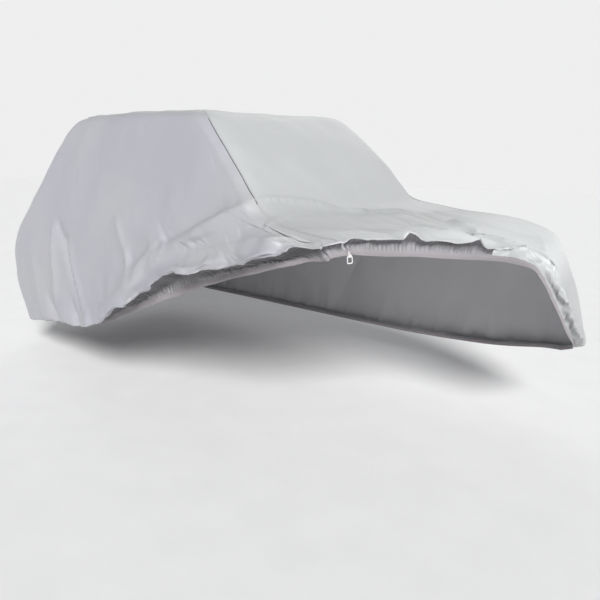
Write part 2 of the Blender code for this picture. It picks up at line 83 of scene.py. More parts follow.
def curve_through(places: Sequence[float], values: Sequence, wanted: Array) -> Array:
    """A smooth curve through points, which doesn't overshoot them.

    Args:
        places: where the points stand, rising.
        values: one row of values for each place.
        wanted: the places to read the curve at.

    Returns:
        One row of values for each wanted place.
    """
    places = np.asarray(places, float)
    values = np.asarray(values, float)
    steps = np.diff(places)[:, None]
    slopes = np.diff(values, axis=0) / steps
    product = slopes[:-1] * slopes[1:]
    total = slopes[:-1] + slopes[1:]
    inner = np.where(product > 0, 2 * product / np.where(product > 0, total, 1.0), 0.0)
    tangents = np.vstack([slopes[:1], inner, slopes[-1:]])
    wanted = np.asarray(wanted, float)
    index = np.clip(np.searchsorted(places, wanted, side="right") - 1, 0, len(places) - 2)
    step = steps[index]
    part = (wanted[..., None] - places[index][..., None]) / step
    square, cube = part**2, part**3
    return (
        (2 * cube - 3 * square + 1) * values[index]
        + (cube - 2 * square + part) * step * tangents[index]
        + (3 * square - 2 * cube) * values[index + 1]
        + (cube - square) * step * tangents[index + 1]
    )


def set_inputs(tree: bpy.types.NodeTree, node: bpy.types.Node, inputs: dict) -> None:
    """Gives a node's inputs their constants, or the outputs of other nodes."""
    for name, value in inputs.items():
        if isinstance(value, bpy.types.NodeSocket):
            tree.links.new(value, node.inputs[name])
        else:
            node.inputs[name].default_value = value


def add_node(
    tree: bpy.types.NodeTree, kind: str, output: str, inputs: dict, **settings: object
) -> bpy.types.NodeSocket:
    """Adds a node.

    Args:
        tree: where it goes.
        kind: its type.
        output: the name of the output asked for.
        inputs: constants or other nodes' outputs, by the input's name or number.
        settings: its own settings.

    Returns:
        The output asked for.
    """
    node = tree.nodes.new(kind)
    for name, value in settings.items():
        setattr(node, name, value)
    set_inputs(tree, node, inputs)
    return node.outputs[output]


def mix_colours(
    tree: bpy.types.NodeTree, first: object, second: object, share: object, blend: str = "MIX"
) -> bpy.types.NodeSocket:
    """The mix of two colours, by a share of the second."""
    inputs = {"A": first, "B": second, "Factor": share}
    return add_node(tree, "ShaderNodeMix", "Result", inputs, data_type="RGBA", blend_type=blend)


def swept_faces(around: int, count: int, closed: bool) -> list[tuple[int, ...]]:
    """Faces of a section swept along a line, with its ends filled where the line is open.

    Args:
        around: how many points the section has; each has its own run of vertices.
        count: how many places the line has.
        closed: whether the line ends where it starts.

    Returns:
        The faces, as vertices.
    """
    faces = []
    for i in range(count if closed else count - 1):
        after = (i + 1) % count
        for low in range(0, around * count, count):
            high = (low + count) % (around * count)
            faces.append((low + i, low + after, high + after, high + i))
    if not closed:
        faces.append(tuple(step * count for step in reversed(range(around))))
        faces.append(tuple(step * count + count - 1 for step in range(around)))
    return faces


def distance_along(line: Array) -> Array:
    """How far along a line each of its points lies."""
    return np.concatenate([[0], np.cumsum(np.linalg.norm(np.diff(line, axis=0), axis=1))])


class Side(Enum):
    """The cover's four sides, in the order in which they follow each other round it."""

    NEAR = 0
    NOSE = 1
    FAR = 2
    TAIL = 3


class Level(NamedTuple):
    """One ring of the loose outer form."""

    height: float
    nose: float
    tail: float
    half: float
    nose_r: float
    tail_r: float
    bow: float
    far_lift: float


LEVELS = (
    Level(0.100, 1.75, -1.11, 0.600, 0.20, 0.16, 0.03, 0.000),
    Level(0.200, 1.83, -1.14, 0.665, 0.20, 0.17, 0.04, 0.000),
    Level(0.320, 1.86, -1.155, 0.700, 0.20, 0.18, 0.05, 0.000),
    Level(0.450, 1.865, -1.165, 0.715, 0.20, 0.19, 0.05, 0.000),
    Level(0.580, 1.832, -1.17, 0.715, 0.20, 0.20, 0.06, 0.010),
    Level(0.680, 1.790, -1.145, 0.705, 0.20, 0.20, 0.07, 0.020),
    Level(0.750, 1.755, -1.11, 0.695, 0.20, 0.20, 0.08, 0.032),
    Level(0.800, 1.710, -1.065, 0.688, 0.19, 0.20, 0.08, 0.060),
    Level(0.840, 1.590, -1.035, 0.680, 0.18, 0.20, 0.09, 0.070),
    Level(0.875, 1.39, -1.01, 0.670, 0.17, 0.20, 0.10, 0.057),
    Level(0.910, 1.20, -0.99, 0.660, 0.14, 0.20, 0.10, 0.038),
    Level(0.945, 1.03, -0.96, 0.650, 0.11, 0.20, 0.11, 0.030),
    Level(1.000, 0.945, -0.915, 0.632, 0.08, 0.20, 0.10, 0.042),
    Level(1.100, 0.83, -0.84, 0.605, 0.08, 0.20, 0.09, 0.062),
    Level(1.200, 0.72, -0.755, 0.580, 0.08, 0.20, 0.09, 0.054),
    Level(1.270, 0.63, -0.69, 0.560, 0.08, 0.20, 0.08, 0.050),
    Level(1.315, 0.56, -0.62, 0.535, 0.08, 0.20, 0.07, 0.049),
    Level(1.343, 0.47, -0.52, 0.485, 0.08, 0.20, 0.05, 0.041),
)
HEIGHTS = [row.height for row in LEVELS]


def level_of(height: Array) -> Array:
    """The level at a height above the ground, as a place in the table of levels."""
    return np.interp(height, HEIGHTS, range(len(HEIGHTS)))


class Hem(NamedTuple):
    """The hem at one place: its level, and how the cloth hangs over it.

    Sink is how far the hem is drawn in, lip how far above it the cloth hangs out again, puff how
    far out the lip stands, sag how far it droops, gather the depth of the pleats and reach how
    far up they run. Ease is the spare cloth round the hem that the elastic gathers, and slack the
    spare cloth upwards, both as shares of the length.
    """

    side: Side
    along: float
    height: float
    sink: float
    lip: float
    puff: float
    sag: float
    gather: float
    reach: float
    ease: float
    slack: float


HEM = (
    Hem(Side.NEAR, 0.00, 0.125, 0.020, 0.060, 0.006, 0.004, 0.003, 0.10, 0.05, 0.03),
    Hem(Side.NEAR, 0.15, 0.215, 0.020, 0.060, 0.006, 0.004, 0.003, 0.10, 0.06, 0.04),
    Hem(Side.NEAR, 0.28, 0.275, 0.022, 0.050, 0.008, 0.006, 0.003, 0.10, 0.08, 0.08),
    Hem(Side.NEAR, 0.36, 0.350, 0.027, 0.048, 0.016, 0.010, 0.003, 0.08, 0.08, 0.14),
    Hem(Side.NEAR, 0.44, 0.455, 0.032, 0.054, 0.019, 0.016, 0.003, 0.07, 0.09, 0.20),
    Hem(Side.NEAR, 0.53, 0.560, 0.036, 0.062, 0.022, 0.018, 0.004, 0.06, 0.10, 0.22),
    Hem(Side.NEAR, 0.61, 0.652, 0.038, 0.062, 0.022, 0.016, 0.004, 0.06, 0.10, 0.20),
    Hem(Side.NEAR, 0.69, 0.726, 0.038, 0.052, 0.018, 0.012, 0.004, 0.06, 0.10, 0.16),
    Hem(Side.NEAR, 0.82, 0.820, 0.042, 0.052, 0.016, 0.008, 0.004, 0.05, 0.09, 0.12),
    Hem(Side.NEAR, 0.91, 0.852, 0.040, 0.060, 0.014, 0.008, 0.004, 0.05, 0.09, 0.10),
    Hem(Side.NEAR, 0.97, 0.870, 0.036, 0.068, 0.014, 0.008, 0.004, 0.05, 0.09, 0.08),
    Hem(Side.NOSE, 0.05, 0.884, 0.044, 0.080, 0.016, 0.008, 0.005, 0.04, 0.10, 0.05),
    Hem(Side.NOSE, 0.17, 0.880, 0.053, 0.088, 0.016, 0.008, 0.005, 0.04, 0.10, 0.05),
    Hem(Side.NOSE, 0.22, 0.878, 0.055, 0.106, 0.014, 0.006, 0.005, 0.05, 0.10, 0.05),
    Hem(Side.NOSE, 0.36, 0.860, 0.052, 0.094, 0.012, 0.006, 0.004, 0.05, 0.10, 0.05),
    Hem(Side.NOSE, 0.45, 0.838, 0.044, 0.075, 0.008, 0.004, 0.004, 0.07, 0.10, 0.04),
    Hem(Side.NOSE, 0.49, 0.806, 0.036, 0.090, 0.002, 0.000, 0.005, 0.10, 0.05, 0.03),
    Hem(Side.NOSE, 0.52, 0.736, 0.032, 0.090, 0.002, 0.000, 0.005, 0.12, 0.05, 0.03),
    Hem(Side.NOSE, 0.55, 0.657, 0.030, 0.090, 0.002, 0.000, 0.006, 0.13, 0.05, 0.03),
    Hem(Side.NOSE, 0.59, 0.585, 0.030, 0.090, 0.002, 0.000, 0.007, 0.13, 0.05, 0.03),
    Hem(Side.NOSE, 0.65, 0.510, 0.030, 0.090, 0.002, 0.000, 0.006, 0.13, 0.05, 0.03),
    Hem(Side.NOSE, 0.80, 0.415, 0.030, 0.090, 0.002, 0.000, 0.005, 0.10, 0.05, 0.03),
    Hem(Side.NOSE, 0.96, 0.335, 0.030, 0.055, 0.006, 0.004, 0.004, 0.10, 0.08, 0.04),
    Hem(Side.FAR, 0.14, 0.240, 0.025, 0.050, 0.006, 0.004, 0.004, 0.10, 0.08, 0.04),
    Hem(Side.FAR, 0.34, 0.200, 0.022, 0.050, 0.006, 0.004, 0.004, 0.10, 0.08, 0.04),
    Hem(Side.FAR, 0.90, 0.175, 0.020, 0.050, 0.006, 0.004, 0.004, 0.10, 0.07, 0.04),
    Hem(Side.TAIL, 0.20, 0.160, 0.020, 0.055, 0.006, 0.004, 0.004, 0.10, 0.07, 0.04),
    Hem(Side.TAIL, 0.80, 0.130, 0.020, 0.060, 0.006, 0.004, 0.004, 0.10, 0.06, 0.04),
)


class LipEdge(NamedTuple):
    """The lip's lower edge at a place round the hem: how far above the hem's foot it stops.

    The place is the side's number and how far along it the edge lies, as in Side.NEAR + 0.5.
    """

    place: float
    height: float


LIP_EDGES = (
    LipEdge(0.000, 0.010),
    LipEdge(0.280, 0.010),
    LipEdge(0.380, 0.014),
    LipEdge(0.424, 0.040),
    LipEdge(0.452, 0.024),
    LipEdge(0.479, 0.034),
    LipEdge(0.500, 0.060),
    LipEdge(0.524, 0.056),
    LipEdge(0.540, 0.080),
    LipEdge(0.556, 0.090),
    LipEdge(0.585, 0.082),
    LipEdge(0.603, 0.060),
    LipEdge(0.628, 0.042),
    LipEdge(0.645, 0.050),
    LipEdge(0.659, 0.038),
    LipEdge(0.683, 0.030),
    LipEdge(0.714, 0.029),
    LipEdge(0.735, 0.040),
    LipEdge(0.758, 0.037),
    LipEdge(0.818, 0.034),
    LipEdge(0.877, 0.050),
    LipEdge(0.933, 0.050),
    LipEdge(0.982, 0.059),
    LipEdge(1.049, 0.064),
    LipEdge(1.112, 0.075),
    LipEdge(1.199, 0.077),
    LipEdge(1.214, 0.108),
    LipEdge(1.238, 0.095),
    LipEdge(1.267, 0.070),
    LipEdge(1.301, 0.077),
    LipEdge(1.345, 0.074),
    LipEdge(1.379, 0.087),
    LipEdge(1.394, 0.100),
    LipEdge(1.413, 0.063),
    LipEdge(1.428, 0.026),
    LipEdge(1.520, 0.022),
    LipEdge(2.000, 0.014),
    LipEdge(4.000, 0.010),
)
FACING_PLACES = (0.33, 1.43)  # between these the cloth under the lip is seen


class Wave(NamedTuple):
    """A row of pleats round the hem: their length, where they start and how much they count."""

    length: float
    seed: float
    share: float = 1.0

    def at(self, round_it: float) -> float:
        """The height at a place round the hem: soft ridges with sharper valleys."""
        turn = 2 * math.pi * round_it / self.length
        slow = 0.9 * math.sin(turn / 3.1 + self.seed)
        fast = 0.5 * math.sin(turn / 1.7 + 2 * self.seed)
        return self.share * (2 * math.sqrt(math.sin(turn / 2 + slow + fast) ** 2 + 0.03) - 1)


RAGGED = (Wave(0.13, 1.0, 0.6), Wave(0.051, 2.0, 0.4))
JAGGED = (Wave(0.11, 5.0), Wave(0.05, 2.5))
SLACK_WAVE = (Wave(0.21, 3.0, 0.5),)
FINE_PLEATS = (Wave(0.034, 0.0, 0.75),)
WIDE_PLEATS = (Wave(0.0884, 4.0, 0.6),)
PLEAT_REACH = (Wave(0.093, 7.0, 0.5),)


def ripple(waves: Sequence[Wave], round_it: float) -> float:
    """The height of waves together at a place round the hem."""
    return sum(wave.at(round_it) for wave in waves)


CLOSENESS = {
    Side.NEAR: ((0, 1.0), (0.38, 1.1), (0.45, 1.7), (0.75, 1.9), (0.82, 2.2), (1, 2.2)),
    Side.NOSE: ((0, 1.5), (0.42, 1.7), (0.47, 4.2), (0.63, 3.8), (0.72, 0.9), (1, 0.6)),
    Side.FAR: ((0, 1.0), (1, 1.0)),
    Side.TAIL: ((0, 1.0), (1, 1.0)),
}  # how close the columns stand along each side
STRIP_ROWS = (0.12, 0.25, 0.36, 0.45, 0.53, 0.60, 0.66, 0.72, 0.78, 0.83, 0.88, 0.92, 0.96, 1.0)
FACING_ROWS = 11  # of those, how many have the facing
GLASS_FOOT = ((-0.57, 0.84), (-0.15, 1.02), (0.15, 1.12), (0.70, 1.22))  # across, ahead


class Fold(NamedTuple):
    """A soft ridge, or a trough where the rise is negative, between two places on the form.

    Left and right are its widths on either hand, seen from outside and looking from its start to
    its end: a narrow hand gives the sharp edge of a crease.
    """

    name: str
    x0: float
    y0: float
    height0: float
    x1: float
    y1: float
    height1: float
    left: float
    right: float
    rise: float


FOLDS = (
    Fold("long crease", 0.78, -0.63, 0.965, 0.27, -0.70, 0.70, 0.050, 0.030, 0.013),
    Fold("over the long crease", 0.66, -0.65, 0.935, 0.16, -0.70, 0.680, 0.016, 0.060, -0.007),
    Fold("crease edge", 0.76, -0.63, 0.955, 0.22, -0.70, 0.645, 0.030, 0.010, 0.005),
    Fold("puff under the crease", 0.96, -0.66, 0.87, 0.48, -0.70, 0.745, 0.040, 0.040, 0.010),
    Fold("hollow under the crease", 0.80, -0.67, 0.90, 0.42, -0.70, 0.765, 0.022, 0.022, -0.006),
    Fold("tail corner ridge", -0.51, -0.69, 0.75, -0.52, -0.70, 0.38, 0.035, 0.020, 0.014),
    Fold("tail corner trough", -0.48, -0.68, 0.81, -0.39, -0.70, 0.71, 0.030, 0.022, -0.010),
    Fold("tail corner trough, lower", -0.39, -0.70, 0.71, -0.27, -0.71, 0.40, 0.030, 0.016, -0.013),
    Fold("ridge behind the corner", -0.34, -0.70, 0.70, -0.20, -0.71, 0.42, 0.020, 0.045, 0.010),
    Fold("tail soft ridge", -0.76, -0.68, 0.62, -0.70, -0.68, 0.26, 0.050, 0.050, 0.010),
    Fold("tail low tuck", -0.62, -0.69, 0.40, -0.56, -0.69, 0.26, 0.018, 0.018, -0.008),
    Fold("low tuck by the wheel", -0.36, -0.70, 0.42, -0.33, -0.70, 0.29, 0.020, 0.014, -0.009),
    Fold("low bulge by the wheel", -0.20, -0.70, 0.40, -0.16, -0.70, 0.30, 0.030, 0.024, 0.010),
    Fold("door fold", 0.07, -0.67, 0.867, 0.16, -0.70, 0.731, 0.012, 0.034, 0.004),
    Fold("door fold, lower", 0.16, -0.70, 0.731, 0.21, -0.71, 0.627, 0.014, 0.040, 0.007),
    Fold("belly", 0.36, -0.69, 0.80, 0.10, -0.71, 0.50, 0.060, 0.060, 0.014),
    Fold("low crumple", 0.26, -0.71, 0.627, -0.01, -0.71, 0.432, 0.020, 0.030, 0.009),
    Fold("under the low crumple", 0.22, -0.71, 0.56, 0.02, -0.71, 0.40, 0.018, 0.018, -0.008),
    Fold("overhang crease", 0.10, -0.71, 0.514, 0.42, -0.71, 0.590, 0.022, 0.008, 0.012),
    Fold("ledge", 0.35, -0.71, 0.623, 0.61, -0.70, 0.719, 0.028, 0.010, 0.014),
    Fold("ledge, rising", 0.50, -0.71, 0.650, 0.66, -0.70, 0.735, 0.020, 0.010, 0.008),
    Fold("brow over the gathers", 0.61, -0.70, 0.719, 0.86, -0.69, 0.745, 0.030, 0.012, 0.010),
    Fold("low trough", 0.30, -0.71, 0.60, 0.56, -0.70, 0.72, 0.045, 0.045, -0.010),
    Fold("shoulder ridge", 0.89, -0.66, 0.86, 1.15, -0.55, 0.90, 0.050, 0.050, 0.010),
    Fold("glass foot crease", 0.84, -0.57, 0.990, 1.02, -0.15, 0.955, 0.090, 0.014, 0.006),
    Fold("glass foot crease, far", 1.02, -0.15, 0.955, 1.12, 0.15, 0.938, 0.090, 0.018, 0.006),
    Fold("recess", 1.38, -0.22, 0.88, 1.46, -0.08, 0.87, 0.050, 0.028, -0.012),
    Fold("brow of the recess", 1.24, -0.22, 0.90, 1.33, 0.00, 0.89, 0.050, 0.030, 0.010),
    Fold("edge of the recess", 1.34, -0.24, 0.88, 1.46, -0.07, 0.872, 0.014, 0.008, 0.006),
    Fold("fold tip", 1.29, 0.14, 0.913, 1.44, 0.05, 0.886, 0.050, 0.016, 0.012),
    Fold("under the fold tip", 1.44, 0.05, 0.886, 1.56, -0.12, 0.85, 0.040, 0.012, 0.013),
    Fold("crease to the fold tip", 1.06, 0.22, 0.952, 1.29, 0.14, 0.913, 0.030, 0.024, -0.006),
    Fold("second crease to the tip", 1.12, 0.10, 0.935, 1.32, 0.07, 0.905, 0.020, 0.016, -0.004),
    Fold("spread fold one", 1.58, -0.15, 0.846, 1.51, 0.05, 0.876, 0.014, 0.024, 0.005),
    Fold("spread fold two", 1.60, -0.10, 0.845, 1.57, 0.09, 0.872, 0.014, 0.020, 0.005),
    Fold("spread fold three", 1.62, -0.06, 0.843, 1.63, 0.08, 0.855, 0.012, 0.018, 0.004),
    Fold("nose bonnet trough", 1.10, 0.30, 0.955, 1.62, 0.27, 0.876, 0.030, 0.050, -0.006),
    Fold("upper nose fold", 1.64, 0.26, 0.86, 1.72, -0.02, 0.79, 0.050, 0.030, 0.008),
    Fold("nose pleat one", 1.73, -0.04, 0.788, 1.72, 0.10, 0.82, 0.008, 0.014, 0.003),
    Fold("nose pleat two", 1.76, -0.01, 0.752, 1.74, 0.16, 0.785, 0.008, 0.014, 0.004),
    Fold("nose pleat three", 1.78, 0.02, 0.715, 1.76, 0.26, 0.745, 0.008, 0.014, 0.004),
    Fold("nose pleat four", 1.79, 0.05, 0.675, 1.78, 0.34, 0.680, 0.008, 0.014, 0.005),
    Fold("nose pleat five", 1.82, 0.09, 0.635, 1.81, 0.36, 0.610, 0.008, 0.012, 0.005),
    Fold("nose pleat six", 1.83, 0.12, 0.600, 1.83, 0.40, 0.560, 0.007, 0.012, 0.005),
    Fold("nose pleat seven", 1.84, 0.15, 0.555, 1.84, 0.41, 0.500, 0.008, 0.014, 0.005),
    Fold("far side fold one", 0.55, 0.69, 0.62, 0.40, 0.69, 0.30, 0.050, 0.030, 0.010),
    Fold("far side fold two", -0.35, 0.69, 0.66, -0.28, 0.69, 0.32, 0.040, 0.030, 0.011),
    Fold("far side crease", 0.70, 0.63, 0.95, 0.20, 0.70, 0.74, 0.050, 0.030, 0.010),
    Fold("tail fold one", -1.12, -0.25, 0.66, -1.16, -0.20, 0.28, 0.035, 0.030, 0.010),
    Fold("tail fold two", -1.12, 0.28, 0.70, -1.16, 0.22, 0.30, 0.030, 0.040, 0.010),
)


@dataclass
class CoverForm:
    """The loose outer form of the cover, as rings from the lowest hem to the roof."""

    nose_taper: float = 0.05
    tail_taper: float = 0.03
    tail_bow: float = 0.5
    lift_from: float = -0.4
    lift_over: float = 1.3
    seam_level: float = 16.6
    least_sine: float = 0.4
    normal_spread: tuple[float, ...] = (-0.10, -0.05, 0.0, 0.05, 0.10)

    def level_at(self, level: Array) -> Level:
        """The ring at a level, which may lie between two rows of the table."""
        found = curve_through(np.arange(len(LEVELS)), LEVELS, np.clip(level, 0, len(LEVELS) - 1))
        return Level(*np.moveaxis(found, -1, 0))

    def hem_at(self, side: Side, along: Array) -> Array:
        """The hem's numbers at a place, in the table's order from its height on."""
        places = [row.side.value + row.along for row in HEM]
        values = [tuple(row)[2:] for row in HEM]
        again = [place + len(Side) for place in places]
        wanted = side.value + np.asarray(along, float)
        return np.moveaxis(curve_through(places + again, values + values, wanted), -1, 0)

    def lip_edge(self, side: Side, along: Array) -> Array:
        """How far above the hem's foot the lip's lower edge lies."""
        return np.interp(side.value + np.asarray(along, float), *zip(*LIP_EDGES))

    def rounded_run(self, along: Array, first_r: Array, length: Array, last_r: Array) -> tuple:
        """How far along a side with rounded ends a place is, and how far in."""
        first, last = first_r * math.pi / 4, last_r * math.pi / 4
        straight = length - first_r - last_r
        distance = along * (first + straight + last)
        first_turn = np.clip((first - distance) / first_r, 0.0, math.pi / 4)
        last_turn = np.clip((distance - first - straight) / last_r, 0.0, math.pi / 4)
        middle = np.clip(distance - first, 0.0, straight)
        forward = first_r * (1 - np.sin(first_turn)) + middle + last_r * np.sin(last_turn)
        return forward, first_r * (1 - np.cos(first_turn)) + last_r * (1 - np.cos(last_turn))

    def point(self, side: Side, along: Array, level: Array) -> Array:
        """A point of the form, without the hem's gathers and the folds."""
        row = self.level_at(level)
        length = row.nose - row.tail
        if side is Side.NEAR:
            forward, inward = self.rounded_run(along, row.tail_r, length, row.nose_r)
            x, y = row.tail + forward, inward - row.half
        elif side is Side.NOSE:
            forward, inward = self.rounded_run(along, row.nose_r, 2 * row.half, row.nose_r)
            x, y = row.nose - inward, forward - row.half
        elif side is Side.FAR:
            forward, inward = self.rounded_run(along, row.nose_r, length, row.tail_r)
            x, y = row.nose - forward, row.half - inward
        else:
            forward, inward = self.rounded_run(along, row.tail_r, 2 * row.half, row.tail_r)
            x, y = row.tail + inward, row.half - forward
        across = y / row.half
        lengthways = (x - (row.nose + row.tail) / 2) / (length / 2)
        to_nose, to_tail = np.clip(lengthways, 0, 1) ** 2, np.clip(-lengthways, 0, 1) ** 2
        x = x + row.bow * across**2 * (self.tail_bow * to_tail - to_nose)
        y = y * (1 - self.nose_taper * to_nose - self.tail_taper * to_tail)
        lift = row.far_lift * smooth((across - self.lift_from) / self.lift_over)
        return np.stack([x, y, row.height + lift - HELD_HEIGHT], axis=-1)

    def axes(self, side: Side, along: Array, level: Array) -> tuple[Array, Array]:
        """The outward normal of the form and the way down towards the hem."""
        step = 1e-3
        level = np.clip(level, step, len(LEVELS) - 1 - step)
        along = np.clip(along, step, 1 - step)
        round_it = self.point(side, along + step, level) - self.point(side, along - step, level)
        upwards = self.point(side, along, level + step) - self.point(side, along, level - step)
        return unit(np.cross(round_it, upwards)), -unit(upwards)

    def even_normals(self, side: Side, along: float, levels: Array) -> Array:
        """Outward normals evened out round the cover, so that the hem turns softly."""
        total = np.zeros((len(levels), 3))
        for offset in self.normal_spread:
            place = side.value + along + offset
            whole = math.floor(place)
            beside = Side(whole % len(Side))
            total += self.axes(beside, np.full(len(levels), place - whole), levels)[0]
        return unit(total)

    def slant(self, side: Side, along: float) -> float:
        """How many times longer the way up a column is than the way square to the hem."""
        step = 0.01
        beside = np.clip([along - step, along + step], 0.0, 1.0)
        first, second = self.point(side, beside, level_of(self.hem_at(side, beside)[0]))
        middle = level_of(self.hem_at(side, along)[:1])
        _, down = self.axes(side, np.array([along]), middle)
        sine = np.linalg.norm(np.cross(unit(second - first), down[0]))
        return 1 / max(sine, self.least_sine)


@dataclass
class Softness:
    """Slow unevenness of hanging cloth, as a sum of crossing waves with a fixed seed."""

    waves: int = 26
    shortest: float = 0.07
    longest: float = 0.55
    seed: int = 8
    upright: float = 0.45
    growth: float = 0.9
    bend: float = 0.25
    bend_length: float = 2.3
    numbers: np.random.Generator = field(init=False)

    def __post_init__(self) -> None:
        """Starts the seeded numbers."""
        self.numbers = np.random.default_rng(self.seed)

    def height(self, points: Array) -> Array:
        """The unevenness at each point, about -1 to 1, longer upwards than round the cover."""
        total, weight = np.zeros(len(points)), 0.0
        for _ in range(self.waves):
            length = self.shortest * (self.longest / self.shortest) ** self.numbers.random()
            way = unit(self.numbers.normal(size=3) * (1.0, 1.0, self.upright))
            phase = self.numbers.random() * 2 * math.pi
            strength = length**self.growth
            crossing = way[[1, 2, 0]] * 2 * math.pi / (self.bend_length * length)
            bend = self.bend * np.sin(points @ crossing + phase)
            total += strength * np.sin(points @ way * 2 * math.pi / length + phase + bend)
            weight += strength**2
        return total / math.sqrt(weight)


class Loose(NamedTuple):
    """Cloth to be settled, by column and row.

    The base is where its points start, the room how far inwards they may go, round_it and upwards
    its lengths between columns and between rows, and the anchor how firmly each point is drawn
    back to its start; 1 holds it. The hem has the foot of each column, the way up from it and how
    far above it each point stays.
    """

    base: Array
    normals: Array
    room: Array
    round_it: Array
    upwards: Array
    anchor: Array
    hem: tuple[Array, Array, Array]


@dataclass
class Drape:
    """Settles spare cloth: springs hold its lengths, it weighs down, and the car bears it.

    Fineness gives the steps between the columns and rows that take part, coarse before fine, with
    the number of turns of each.
    """

    fineness: tuple[tuple[int, int], ...] = ((4, 260), (2, 220), (1, 140))
    weight: float = 0.00003
    keep: float = 0.88
    shear: float = 0.35
    bending: float = 0.14
    proud: float = 0.030
    soften: int = 2
    tiny: float = 1e-9
    diagonal_range: tuple[float, float] = (0.8, 1.6)

    def settle(
        self,
        start: Array,
        normals: Array,
        room: Array,
        ease: Array,
        slack: Array,
        anchor: Array,
        lowest: Array,
    ) -> Array:
        """Settles the cloth.

        Args:
            start: points, by column and row; the columns close on themselves.
            normals: outward normals of the form at the points.
            room: how far inwards each point may go.
            ease: spare share of the length round the cover.
            slack: spare share of the length upwards.
            anchor: how firmly each point is drawn back to its start; 1 holds it.
            lowest: how far above the hem each point stays.

        Returns:
            The settled points.
        """
        steps_round = np.linalg.norm(np.roll(start, -1, axis=0) - start, axis=2) * (1 + ease)
        steps_up = np.linalg.norm(np.diff(start, axis=1), axis=2) * (1 + slack[:, :-1])
        beside = np.roll(start[:, 0], 1, axis=0) - np.roll(start[:, 0], -1, axis=0)
        rising = unit(np.cross(normals[:, 0], beside))
        rising *= np.where(rising[:, 2:] < 0, -1.0, 1.0)
        standing = np.einsum("ijk,ik->ij", start - start[:, :1], rising)
        lowest = np.minimum(lowest, standing)
        moved = np.zeros_like(start)
        for step, turns in self.fineness:
            part = (slice(None, None, step), slice(None, None, step))
            count = start.shape[0] // step
            round_it = steps_round[:, ::step].reshape(count, step, -1).sum(axis=1)
            upwards = steps_up[::step].reshape(count, -1, step).sum(axis=2)
            hem = (start[::step, :1], rising[::step, None], lowest[part])
            lengths = (room[part], round_it, upwards)
            cloth = Loose(start[part], normals[part], *lengths, anchor[part], hem)
            loose = self.relax(cloth, cloth.base + moved[part], turns)
            moved = self.spread(loose - cloth.base, step, start.shape)
        for _ in range(self.soften):
            moved = (np.roll(moved, 1, axis=0) + 2 * moved + np.roll(moved, -1, axis=0)) / 4
            moved[:, 1:-1] = (moved[:, :-2] + 2 * moved[:, 1:-1] + moved[:, 2:]) / 4
        return start + moved

    def spread(self, coarse: Array, step: int, shape: tuple[int, ...]) -> Array:
        """Carries coarse moves over to every column and row."""
        if step == 1:
            return coarse
        wrapped = np.concatenate([coarse, coarse[:1]])
        place = np.arange(shape[0]) / step
        low = place.astype(int)
        part = (place - low)[:, None, None]
        wider = (1 - part) * wrapped[low] + part * wrapped[low + 1]
        place = np.arange(shape[1]) / step
        low = np.minimum(place.astype(int), coarse.shape[1] - 2)
        part = (place - low)[None, :, None]
        return (1 - part) * wider[:, low] + part * wider[:, low + 1]

    def pull(self, first: Array, second: Array, length: Array, ends: tuple, share: float) -> None:
        """Moves the ends of springs towards their length, in place."""
        away = second - first
        found = np.sqrt(np.einsum("ijk,ijk->ij", away, away)) + self.tiny
        first_w, second_w = ends
        total = first_w + second_w + self.tiny
        away *= (share * (found - length) / found / total)[:, :, None]
        first += away * first_w[:, :, None]
        second -= away * second_w[:, :, None]

    def diagonals(self, cloth: Loose) -> list[Array]:
        """The lengths of the springs across each small square: the leaning, the opposing."""
        base, along, up = cloth.base, cloth.round_it[:, :-1], cloth.upwards
        round_way = (np.roll(base, -1, axis=0) - base)[:, :-1]
        up_way = np.diff(base, axis=1)
        was_along = np.linalg.norm(round_way, axis=2) + self.tiny
        was_up = np.linalg.norm(up_way, axis=2) + self.tiny
        turn = np.einsum("ijk,ijk->ij", round_way, up_way) / was_along / was_up
        beside = np.roll(base, -1, axis=0)
        found = []
        for hand, ends in ((1, beside[:, 1:] - base[:, :-1]), (-1, beside[:, :-1] - base[:, 1:])):
            now = along**2 + up**2 + hand * 2 * along * up * turn
            was = was_along**2 + was_up**2 + hand * 2 * was_along * was_up * turn
            grown = np.sqrt(np.maximum(now, self.tiny) / np.maximum(was, self.tiny))
            found.append(np.linalg.norm(ends, axis=2) * np.clip(grown, *self.diagonal_range))
        return found

    def relax(self, cloth: Loose, points: Array, turns: int) -> Array:
        """Lets the points of the cloth move for a number of turns."""
        round_it, upwards = cloth.round_it, cloth.upwards
        foot, rising, lowest = cloth.hem
        free = np.where(cloth.anchor >= 1, 0.0, 1.0)
        draw = np.where(cloth.anchor >= 1, 1.0, cloth.anchor)[:, :, None]
        across = self.diagonals(cloth)
        two_round = round_it + np.roll(round_it, -1, axis=0)
        two_up = upwards[:, :-1] + upwards[:, 1:]
        before = points.copy()
        down = np.array([0.0, 0.0, -self.weight])
        for _ in range(turns):
            now = points.copy()
            points += (self.keep * (points - before) + down) * free[:, :, None]
            before = now
            points = self.round_springs(points, free, round_it, 1.0, 1)
            self.upward_springs(points, free, upwards, 1.0, 1)
            points = self.slanting_springs(points, free, across)
            points = self.round_springs(points, free, two_round, self.bending, 2)
            self.upward_springs(points, free, two_up, self.bending, 2)
            points += draw * (cloth.base - points)
            depth = np.einsum("ijk,ijk->ij", points - cloth.base, cloth.normals)
            back = np.maximum(-cloth.room - depth, 0) - np.maximum(depth - self.proud, 0)
            points += (back * free)[:, :, None] * cloth.normals
            above = np.einsum("ijk,ijk->ij", points - foot, np.broadcast_to(rising, points.shape))
            points += (np.maximum(lowest - above, 0) * free)[:, :, None] * rising
        return points

